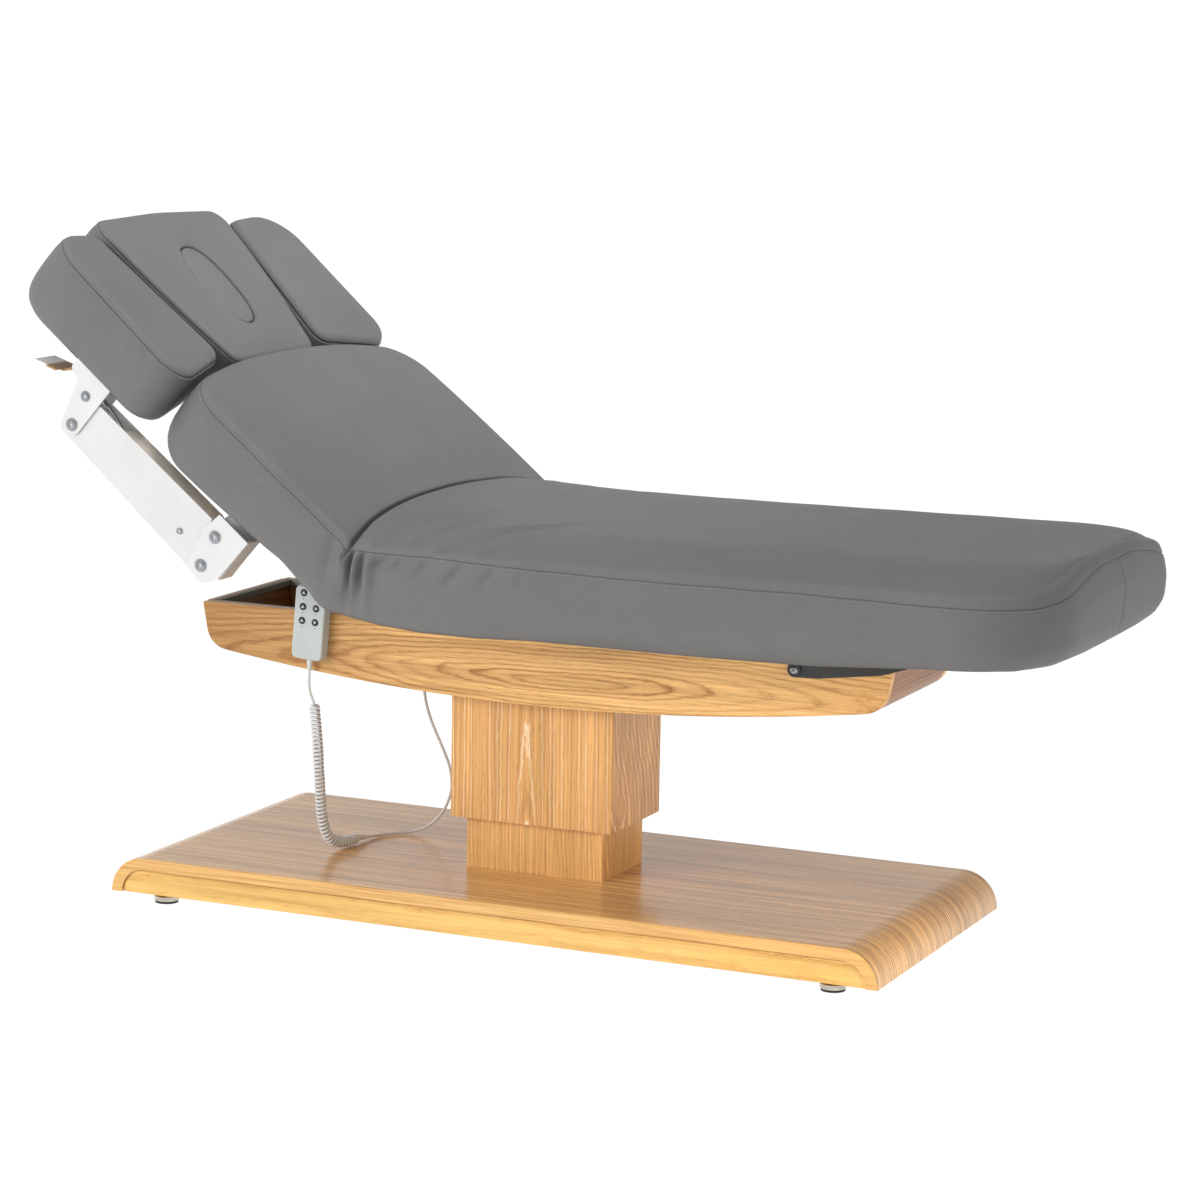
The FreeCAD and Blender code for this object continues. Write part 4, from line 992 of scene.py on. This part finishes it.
def to_line(s, y, line):
    """Signed distance from a fold line, and a weight that fades at its ends."""
    best = np.full(np.broadcast(s, y).shape, 1e9)
    side = np.zeros_like(best)
    where = np.zeros_like(best)
    pts_ = np.array(line, float)
    ln_ = np.concatenate([[0], np.cumsum(np.linalg.norm(np.diff(pts_, axis=0), axis=1))])
    for i in range(len(pts_) - 1):
        e_ = pts_[i + 1] - pts_[i]
        L = np.linalg.norm(e_)
        e_ = e_ / L
        ax, ay = s - pts_[i, 0], y - pts_[i, 1]
        al = np.clip(ax * e_[0] + ay * e_[1], 0, L)
        px, py = ax - al * e_[0], ay - al * e_[1]
        dd_ = np.hypot(px, py)
        hit = dd_ < best
        best = np.where(hit, dd_, best)
        side = np.where(hit, np.sign(e_[0] * py - e_[1] * px), side)
        where = np.where(hit, ln_[i] + al, where)
    fr = where / ln_[-1]
    return best * side, np.clip(fr / 0.10 + 0.25, 0, 1) * np.clip((1 - fr) / 0.55, 0, 1) ** 0.8


def hip(x, y, z, t, d):
    """Folds at the hip: the seat swells up to the back, a sharp crease between them."""
    s = t - tc
    amp = np.clip(1 - (np.abs(y) / 396.0) ** 2.3, 0, 1) * np.clip(1 - d / 16.0, 0, 1)
    amp = np.maximum(amp, 0.36 * np.clip((y - 120.0) / 220.0, 0, 1) * np.clip(1 - d / 70.0, 0, 1))
    D = 50.0 * amp
    bk = s >= 0
    m1 = D * np.exp(-np.abs(s) / 130.0)
    m2 = D * np.exp(-(np.abs(s) / 105.0) ** 1.15)
    dx = np.where(bk, -C4 * m1, -C4 * m2)
    dz = np.where(bk, S4 * m1, S4 * m2)
    fade = np.clip((368.0 - y) / 120.0, 0.12, 1.0)
    near_edge = np.clip(1 - d / 40.0, 0, 1)
    g = (15.0 * np.exp(-(np.abs(s) / 3.0) ** 1.3) + 2.2 * np.exp(-(s / np.where(bk, 15.0, 7.0)) ** 2)) * fade * near_edge
    dx += g * math.sin(math.radians(-20))
    dz -= g * math.cos(math.radians(20))
    # soft folds over the seat that leave the side seam and run out towards the foot end
    on_top = np.clip(1 - d / 14.0, 0, 1)
    for line, deep, wide, both in FOLDS:
        for mir in ((1.0, 1.0), (-1.0, 0.06)) if both else ((1.0, 1.0),):
            dist, run = to_line(s, y * mir[0], line)
            way = np.where(dist > 0, dist / (wide * 2.3), dist / (wide * 1.15))
            dz -= 0.9 * mir[1] * deep * np.exp(-way ** 2) * run * on_top
            dz += mir[1] * 0.55 * deep * np.exp(-((dist + 2.1 * wide) / (1.1 * wide)) ** 2) * run * on_top
    return x + dx, y, z + dz


def side_folds(x, y, z, t, d):
    """Gathers on the boxed side below the end of the crease, and short pulls under the seam."""
    s = t - tc
    w = np.clip((np.abs(y) - 388.0) / 8.0, 0, 1) * np.clip((d - 9) / 8.0, 0, 1)
    sg = np.sign(y)
    fan = s + 0.20 * (d - 12)
    tall = np.exp(-((d - 52) / 56.0) ** 2)
    short = np.exp(-((d - 26) / 24.0) ** 2)
    out = -14.0 * np.exp(-((fan + 8) / 3.9) ** 2) * tall + 9.0 * np.exp(-((fan + 17.5) / 5.5) ** 2) * tall
    out += -10.0 * np.exp(-((fan + 27) / 4.4) ** 2) * tall + 6.5 * np.exp(-((fan + 39) / 8.0) ** 2) * tall
    out += -4.0 * np.exp(-((fan + 54) / 8.0) ** 2) * tall
    out += 10.0 * np.exp(-((fan - 7) / 8.0) ** 2) * short - 5.0 * np.exp(-((fan - 30) / 11.0) ** 2) * tall
    out -= 5.0 * np.exp(-((fan + 6) / 16.0) ** 2) * np.exp(-((d - 105) / 24.0) ** 2)
    for sc, dc, a, ln, wd_ in ((-62, 26, 4.4, 18, 3.4), (-92, 28, 3.4, 16, 3.4), (-132, 30, 4.6, 22, 3.8), (-186, 36, 5.4, 30, 4.2),
                               (-243, 34, 4.4, 26, 4.2), (-300, 36, 2.6, 24, 4.4), (-372, 34, 1.8, 22, 4.6), (-450, 34, 1.2, 24, 5.0),
                               (70, 44, 2.2, 30, 8.0), (124, 60, 1.4, 34, 9.0)):
        al = (s - sc) * 0.62 + (d - dc) * 0.78
        pe = (s - sc) * 0.78 - (d - dc) * 0.62
        out -= 1.35 * a * np.exp(-(al / ln) ** 2 - (pe / (1.15 * wd_)) ** 2)
    return x, y + sg * out * w, z


def finish_point(t, y, d, lift=0.0):
    x, yv, z = place(t, y, d, lift)
    # the leg part rises a little to the foot end
    z = z + 5.0 * np.clip((T0 + 650.0 - t) / 650.0, 0, 1) * np.clip((141.0 - d) / 30.0, 0, 1)
    x, yv, z = hip(x, yv, z, t, np.maximum(d, 0) + 0 * t)
    x, yv, z = side_folds(x, yv, z, t, np.maximum(d, 0) + 0 * t)
    return world(x, yv, z)


dist_edge = np.minimum.reduce([half_w[:, None] - np.abs(yy), np.abs(tt - (T0 + INS)) + 160.0 * arch_f, np.abs(t_end - arch - tt)])
calm = np.clip(np.abs(tt - at_x(top_line, ta, 150.0)) / 60.0, 0, 1)
full = np.interp(tt, [T0, T0 + 500, tc - 60, tc + 40, t_end], [27.0, 27.0, 23.0, 10.0, 4.0])
crown = full * (1 - np.clip(1 - dist_edge / 180.0, 0, 1) ** 2.6) + 0.7 * calm * ripple(tt, yy, 0.7) * np.clip(dist_edge / 60, 0, 1)
swell = np.clip((345.0 - np.abs(yy)) / 245.0, 0, 1)
swell = swell * swell * (3 - 2 * swell) * np.clip(1 - (tt - T0 - INS) / 190.0, 0, 1)
crown = np.maximum(crown, full * swell)
verts = [finish_point(tt, yy, np.zeros_like(tt), crown).reshape(-1, 3)]
gid = lambda i, j: i * Mc + j
faces, ftag = [], []
for i in range(N - 1):
    for j in range(Mc - 1):
        faces.append((gid(i, j), gid(i + 1, j), gid(i + 1, j + 1), gid(i, j + 1)))
ring0 = np.array([gid(i, j) for i, j in idx])
count = N * Mc
prev = ring0
seam_ring = stitch_ring = None
foot_face = np.exp(-((bl[:, 1] - 0.0) / 3.2) ** 2) * (bl[:, 0] < T0 + 60)

set_b = np.array([set_in[i, j] for i, j in idx])
crown_b = np.array([crown[i, j] for i, j in idx])


def foot_rise(t, y):
    """How much the lower edge rises round the foot end, beyond the board."""
    out = np.maximum(np.clip((np.abs(y) - 290.0) / 60.0, 0, 1), np.clip((tc - 1065.0 - t) / 50.0, 0, 1))
    return out * np.interp(np.abs(y), [150.0, 300.0], [3.0, 6.5]) * np.clip((tc - 800.0 - t) / 180.0, 0, 1)


hip_s = bl[:, 0] - tc
hang = np.interp(hip_s, [-1300, -640, -430, -330, -255, -192, -81, -37, 0, 30], [-3, -5, -5, 0, 4, 8, 16, 18, 14, 0])
hang = hang - foot_rise(bl[:, 0], bl[:, 1])
lower_full = np.clip((hip_s + 330.0) / 170.0, 0, 1) * np.clip((45.0 - hip_s) / 35.0, 0, 1)
for kk, (o, d) in enumerate(PROFILE):
    oo = o - 1.6 * foot_face * (1 if 13 < d < 120 else 0)
    oo = oo + set_b * min(1.0, d / 45.0)
    oo = oo + lower_full * np.interp(d, [80, 94, 108, 119, 127.5, 132.6], [0.0, 1.5, 4.0, 7.0, 9.5, 9.5])
    tl, yl = bl[:, 0] + oo * bn[:, 0], bl[:, 1] + oo * bn[:, 1]
    dd = np.full(ML, float(d)) + 0.35 * np.sin(bl[:, 0] * 0.05 + bl[:, 1] * 0.043) * (10 < d < 16)
    dd = dd + hang * np.interp(d, [60.0, 119.0], [0.0, 1.0])
    rise = crown_b * max(0.0, 1 - d / 120.0)
    verts.append(finish_point(tl, yl, dd, rise))
    if kk == STITCH_K:
        o2 = oo + 2.0
        stitch_path = verts[-1]
        stitch_out = finish_point(bl[:, 0] + o2 * bn[:, 0], bl[:, 1] + o2 * bn[:, 1], dd, rise) - stitch_path
    ring = count + np.arange(ML)
    count += ML
    for a in range(ML):
        b2 = (a + 1) % ML
        faces.append((prev[a], prev[b2], ring[b2], ring[a]))
    prev = ring
bottom0 = count
# the underside is hollowed behind the hip, over the handset
hollow = 18.0 * np.clip((330.0 - np.abs(yy)) / 70.0, 0, 1) * np.clip((tt - tc - 30.0) / 40.0, 0, 1) * np.clip((tc + 330.0 - tt) / 60.0, 0, 1)
verts.append(finish_point(tt, yy, 134.5 - hollow - foot_rise(tt, yy)).reshape(-1, 3))
for i in range(N - 1):
    for j in range(Mc - 1):
        faces.append((bottom0 + gid(i, j), bottom0 + gid(i, j + 1), bottom0 + gid(i + 1, j + 1), bottom0 + gid(i + 1, j)))
ringb = ring0 + bottom0
for a in range(ML):
    b2 = (a + 1) % ML
    faces.append((prev[a], prev[b2], ringb[b2], ringb[a]))
verts = np.vstack(verts)
# which row each vertex belongs to, so that the cover can be divided in the middle of the seat
row_of = np.concatenate([np.repeat(np.arange(N), Mc)] + [np.array([i for i, j in idx])] * len(PROFILE) + [np.repeat(np.arange(N), Mc)])
seam_and_crease_shade = np.concatenate([np.zeros(N * Mc)] + [np.full(ML, 0.5 if kk == SEAM_K else 0.0) for kk in range(len(PROFILE))] + [np.zeros(N * Mc)])
# painted shade: a thin dark line on the top just above the lip of the hip crease, darkest towards the far side
crease = np.exp(-(np.abs(tt - tc - 2.0) / 4.2) ** 4) * np.interp(yy, [-392, -300, -100, 60, 290, 350, 385], [0.45, 0.62, 0.8, 1.0, 1.0, 0.6, 0.0])
seam_and_crease_shade[:N * Mc] = crease.reshape(-1)
split = int(np.argmin(np.abs(rows - at_x(top_line, ta, 150.0))))


def part_of(name, pick):
    keep_faces = [f for f in faces if pick(f)]
    used = np.unique(np.concatenate([np.array(f) for f in keep_faces]))
    new = {int(v): i for i, v in enumerate(used)}
    ob = mesh(name, verts[used], [tuple(new[int(v)] for v in f) for f in keep_faces], M_LEATHER)
    mark(ob, seam_and_crease_shade[used])
    b = bmesh.new()
    b.from_mesh(ob.data)
    edges = [e for e in b.edges if len(e.link_faces) == 1]
    made = bmesh.ops.holes_fill(b, edges=edges, sides=0)
    for e in edges:
        e.smooth = False
    bmesh.ops.recalc_face_normals(b, faces=b.faces)
    b.to_mesh(ob.data)
    b.free()
    return ob


upper = part_of("cover_back_seat", lambda f: min(row_of[list(f)]) >= split)
lower = part_of("cover_seat_leg", lambda f: max(row_of[list(f)]) <= split)
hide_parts("back_cushion", "seat_cushion")
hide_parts("leg_cushion")
hip_a, hip_b = tuple(world(-300, 0, 661)), tuple(world(-150, 0, 606))
knee_a, knee_b = tuple(world(420, 0, 600)), tuple(world(600, 0, 600))
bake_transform(upper)
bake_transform(lower)

# thread along the top seam, divided where the cover is
order = np.array([i for i, j in idx])
cut_i = [a for a in range(ML) if order[a] == split]
a1, a2 = min(cut_i), max(cut_i)
up_sel = np.arange(a1, a2 + 1)
lo_sel = np.concatenate([np.arange(a2, ML), np.arange(0, a1 + 1)])
st_up = stitches("stitch_back_seat", stitch_path[up_sel], stitch_out[up_sel], M_THREAD, closed=False)
st_lo = stitches("stitch_seat_leg", stitch_path[lo_sel], stitch_out[lo_sel], M_THREAD, closed=False)
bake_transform(st_up)
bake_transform(st_lo)


# ------------------------------------------------------------------ head pads
def pad(name, loop, at, top, bottom, profile, mat, crown_h, rings=16, hole=None, seed=0.3, hole_prof=None):
    """Stuffed pad: plan loop (already inset), boxed side by profile, crowned top; hole is an inner loop."""
    m_ = len(loop)
    nn = loop_normals(loop)
    for _ in range(2):
        nn = nn + np.roll(nn, 1, 0) + np.roll(nn, -1, 0)
        nn /= np.linalg.norm(nn, axis=1)[:, None]
    c = loop.mean(0) if hole is None else None
    vs, fs, cnt = [], [], 0
    ring_ids = []
    for k in range(rings + 1):
        q = k / rings
        q = q ** 0.9
        if hole is None:
            pl = loop + (c - loop) * min(q, 0.985)
            lift = crown_h * (1 - (1 - q) ** 2.6) + 0.5 * ripple(pl[:, 0] * 2, pl[:, 1] * 2, seed) * min(1, q * 4)
        else:
            pl = loop + (hole - loop) * q
            lift = crown_h * (1 - (2 * abs(q - 0.5)) ** 2.4) + 0.4 * ripple(pl[:, 0] * 2, pl[:, 1] * 2, seed) * min(1, q * 4, (1 - q) * 4)
        vs.append(at(pl[:, 0], pl[:, 1], top(pl[:, 0], pl[:, 1]) + lift))
        ring_ids.append(cnt)
        cnt += m_
        if k:
            strip(ring_ids[-2], ring_ids[-1], m_, fs)
    if hole is None:
        fs.append(tuple(ring_ids[-1] + i for i in range(m_)))
    prev_ = ring_ids[0]
    seam = None
    for kk, (o, d) in enumerate(profile):
        pl = loop + nn * o
        tp, bt = top(pl[:, 0], pl[:, 1]), bottom(pl[:, 0], pl[:, 1])
        z = tp - d if d < 26 else tp - 26 - (d - 26) * (tp - bt - 26) / (134.5 - 26)
        pull = 0.0
        if 30 < d < 120:
            pull = 0.7 * np.sin(pl[:, 0] * 0.05 + pl[:, 1] * 0.061 + seed * 9)
        pl = pl + nn * (pull if np.ndim(pull) == 0 else pull[:, None])
        v = at(pl[:, 0], pl[:, 1], z)
        vs.append(v)
        if kk == STITCH_K:
            po = pl + nn * 2
            seam = (v, at(po[:, 0], po[:, 1], z) - v)
        strip(prev_, cnt, m_, fs, True)
        prev_ = cnt
        cnt += m_
    # underside
    inner_prev = None
    for k in range(5 if hole is None else 2):
        q = (0.0, 0.25, 0.5, 0.75, 0.985)[k] if hole is None else (0.0, 1.0)[k]
        pl = loop + ((c if hole is None else hole) - loop) * q
        vs.append(at(pl[:, 0], pl[:, 1], bottom(pl[:, 0], pl[:, 1])))
        strip(prev_, cnt, m_, fs, True)
        prev_ = cnt
        cnt += m_
    if hole is None:
        fs.append(tuple(prev_ + i for i in reversed(range(m_))))
    else:
        # boxed wall of the opening, from the underside back up to the rolled edge
        hn = loop_normals(hole)
        for o, z_ in hole_prof:
            pl = hole - hn * o
            tp, bt = top(pl[:, 0], pl[:, 1]), bottom(pl[:, 0], pl[:, 1])
            vs.append(at(pl[:, 0], pl[:, 1], bt + (tp - bt) * z_ if z_ < 0.8 else tp - (1 - z_) * 100))
            strip(prev_, cnt, m_, fs, True)
            prev_ = cnt
            cnt += m_
        strip(prev_, ring_ids[-1], m_, fs, True)
    ob = mesh(name, np.vstack(vs), fs, mat)
    tag = np.zeros(cnt)
    first = (rings + 1) * m_ + SEAM_K * m_
    tag[first:first + m_] = 1.0
    mark(ob, tag)
    return ob, seam


WING_PROFILE = [(o, d) for o, d in PROFILE[:9]] + [(22.4, 20), (23.8, 30), (24.8, 44), (25.2, 60), (25.0, 78), (24.2, 95), (22.4, 108),
                                                   (19.2, 118), (14.0, 126), (7.0, 131.5)]


def wing_top(u, y):
    return 117.0 + (u - 650) * 0.03 + (y - 199) * 0.07


for side, sg, body in (("near", -1, "wing_near"), ("far", 1, "wing_far")):
    loop = round_loop(inset([(498, 174, 20), (800, 229, 24), (800, 390, 82), (444, 390, 50)], INS), 5.0)
    loop = loop if sg > 0 else loop[::-1]
    ob, seam = pad("wing_pad_" + side, loop, lambda u, y, n, sg=sg: back(u, sg * y, n), wing_top, lambda u, y: -1.0 + 0 * u,
                   WING_PROFILE, M_LEATHER, 6.0, seed=0.3 + sg)
    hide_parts("wing_cushion_" + side)
    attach(ob, body)
    st = stitches("wing_stitch_" + side, seam[0], seam[1], M_THREAD)
    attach(st, body)


def oval(loop, centre, a, b, power=2.35):
    ang = np.arctan2(loop[:, 1] - centre[1], loop[:, 0] - centre[0])
    ca, sa = np.cos(ang), np.sin(ang)
    r = (np.abs(ca / a) ** power + np.abs(sa / b) ** power) ** (-1 / power)
    return np.stack([centre[0] + r * ca, centre[1] + r * sa], -1)


HC = (219.0, 0.0)
loop = round_loop(inset([(48, -141, 16), (160, -177, 300), (270, -201, 300), (391, -219, 32), (398, 0, 900), (389, 216, 36), (270, 201, 300),
                         (160, 177, 300), (48, 141, 16)], 20.0), 4.0)
HEAD_PROFILE = [(o * 0.83, d * 0.72) for o, d in PROFILE[:9]] + [(18.6, 17), (19.4, 25.9), (19.9, 45), (19.9, 62), (19.3, 80), (18.0, 96),
                                                                 (15.6, 110), (11.5, 121), (6.0, 129), (2.0, 132.5)]
ob, seam = pad("head_pad", loop, head, lambda v, y: 103.0 + 0 * v, lambda v, y: 8.0 + 0 * v, HEAD_PROFILE, M_LEATHER, 4.0, rings=22,
               hole=oval(loop, HC, 95.0, 55.5), seed=1.1, hole_prof=[(4.6, 0.02), (4.6, 0.4), (4.6, 0.75), (4.3, 0.955), (3.4, 0.975), (2.0, 0.99)])
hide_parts("head_cushion")
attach(ob, "head")
st = stitches("head_stitch", seam[0], seam[1], M_THREAD)
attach(st, "head")

pl_loop = oval(round_loop([(145, -40, 30), (293, -40, 30), (293, 40, 30), (145, 40, 30)], 3.0), HC, 84.0, 44.0)
PLUG_PROFILE = [(2.2, 0.4), (3.8, 1.5), (4.9, 3.0), (5.4, 5.0), (5.4, 8.0), (5.2, 9.0), (4.8, 9.6), (5.2, 10.4), (5.4, 12.0), (5.4, 30), (5.4, 60),
                (5.4, 90), (5.2, 120), (4.0, 130)]
ob, _ = pad("face_plug_pad", pl_loop, head, lambda v, y: 100.5 + 0 * v, lambda v, y: 8.6 + 0 * v, PLUG_PROFILE, M_LEATHER_IN, 3.2, rings=14, seed=2.0)
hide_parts("face_plug")
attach(ob, "plug")

# ------------------------------------------------------------------ hardware
for side, sg in (("near", -1), ("far", 1)):
    y = sg * 378.0
    for nm, (u, n), body, r, h in (("lower_a", (233, -96), "back", 8.7, 5.6), ("lower_b", (244, -41), "back", 8.7, 5.6),
                                   ("upper_a", (563, -88), "wing_" + side, 8.7, 5.6), ("upper_b", (574, -33), "wing_" + side, 7.2, 4.4)):
        socket_bolt("bolt_%s_%s" % (nm, side), back(u, y, n), (0, sg, 0), r * 0.001, h * 0.001, body)
    socket_bolt("bolt_spring_%s" % side, back(300, sg * 373.6, -82), (0, sg, 0), 0.0053, 0.0042, "arm_" + side, washer=False)

# marks on the buttons: paired arrows, one pair a row, and a small dark arrow under each button
LEAN, HS_X, HS_TOP = math.radians(4.3), -382.0, 556.0


def on_face(x, y, z):
    """Point of the hanging handset, which leans about its upper edge."""
    dx, dz = x - HS_X, z - HS_TOP
    return world(HS_X + dx * math.cos(LEAN) + dz * math.sin(LEAN), y, HS_TOP - dx * math.sin(LEAN) + dz * math.cos(LEAN))


def flat_marks(name, shapes, y, mat, body):
    co, fc = [], []
    for pts in shapes:
        k0, n_ = len(co), len(pts)
        co += [on_face(a_, y, b_) for a_, b_ in pts] + [on_face(a_, y + 0.2, b_) for a_, b_ in pts]
        fc += [tuple(k0 + i for i in range(n_)), tuple(k0 + n_ + i for i in reversed(range(n_)))]
        fc += [(k0 + i, k0 + (i + 1) % n_, k0 + n_ + (i + 1) % n_, k0 + n_ + i) for i in range(n_)]
    ob = mesh(name, co, fc, mat, smooth=False)
    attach(ob, body)


rows_z = (543.5, 519.5, 495.5)
cols_x = (-394.5, -369.5)
kb = 0
below = []
for rz in rows_z:
    for ci, cx in enumerate(cols_x):
        kb += 1
        d = 1 if ci == 0 else -1
        tri = [(cx - 2.3, rz - d * 0.2), (cx + 2.3, rz - d * 0.2), (cx, rz + d * 2.6)]
        bar = [(cx - 3.2, rz - d * 2.0), (cx + 3.2, rz - d * 2.0), (cx + 3.2, rz - d * 1.1), (cx - 3.2, rz - d * 1.1)]
        flat_marks("button_mark_%d" % kb, [tri, bar], -176.0 - 1.3 - 0.12, M_MARK, "button_%d" % kb)
        lz = rz - 10.2
        below.append([(cx - 1.2, lz - d * 0.9), (cx + 1.2, lz - d * 0.9), (cx, lz + d * 1.1)])
flat_marks("handset_marks", below, -176.0 - 0.12, M_BUTTON, "carriage")

# cross-head screws in the ends of the knee shaft
for side, sg in (("near", -1), ("far", 1)):
    ctr = Vector(world(KNEE[0], sg * 160.0, KNEE[1]))
    prof = [(0.0068, 0.0), (0.0068, 0.0009), (0.0061, 0.0019), (0.0046, 0.0027), (0.0028, 0.0031)]
    ob = lathe("knee_screw_" + side, prof, ctr, (0, sg, 0), M_BOLT, 36)
    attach(ob, "leg")
    co, fc = [], []
    for ang in (0.5, 0.5 + math.pi / 2):
        ca, sa = math.cos(ang), math.sin(ang)
        k0 = len(co)
        for yy_ in (0.0022, 0.00325):
            for a_, b_ in ((-0.0040, -0.0007), (0.0040, -0.0007), (0.0040, 0.0007), (-0.0040, 0.0007)):
                co.append(ctr + Vector((a_ * ca - b_ * sa, sg * yy_, a_ * sa + b_ * ca)))
        fc += [tuple(k0 + i for i in f) for f in ((0, 1, 2, 3), (4, 5, 6, 7), (0, 1, 5, 4), (1, 2, 6, 5), (2, 3, 7, 6), (3, 0, 4, 7))]
    ob = mesh("knee_screw_slot_" + side, co, fc, M_BLACK, smooth=False)
    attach(ob, "leg")

# ------------------------------------------------------------------ final update
bpy.context.view_layer.update()
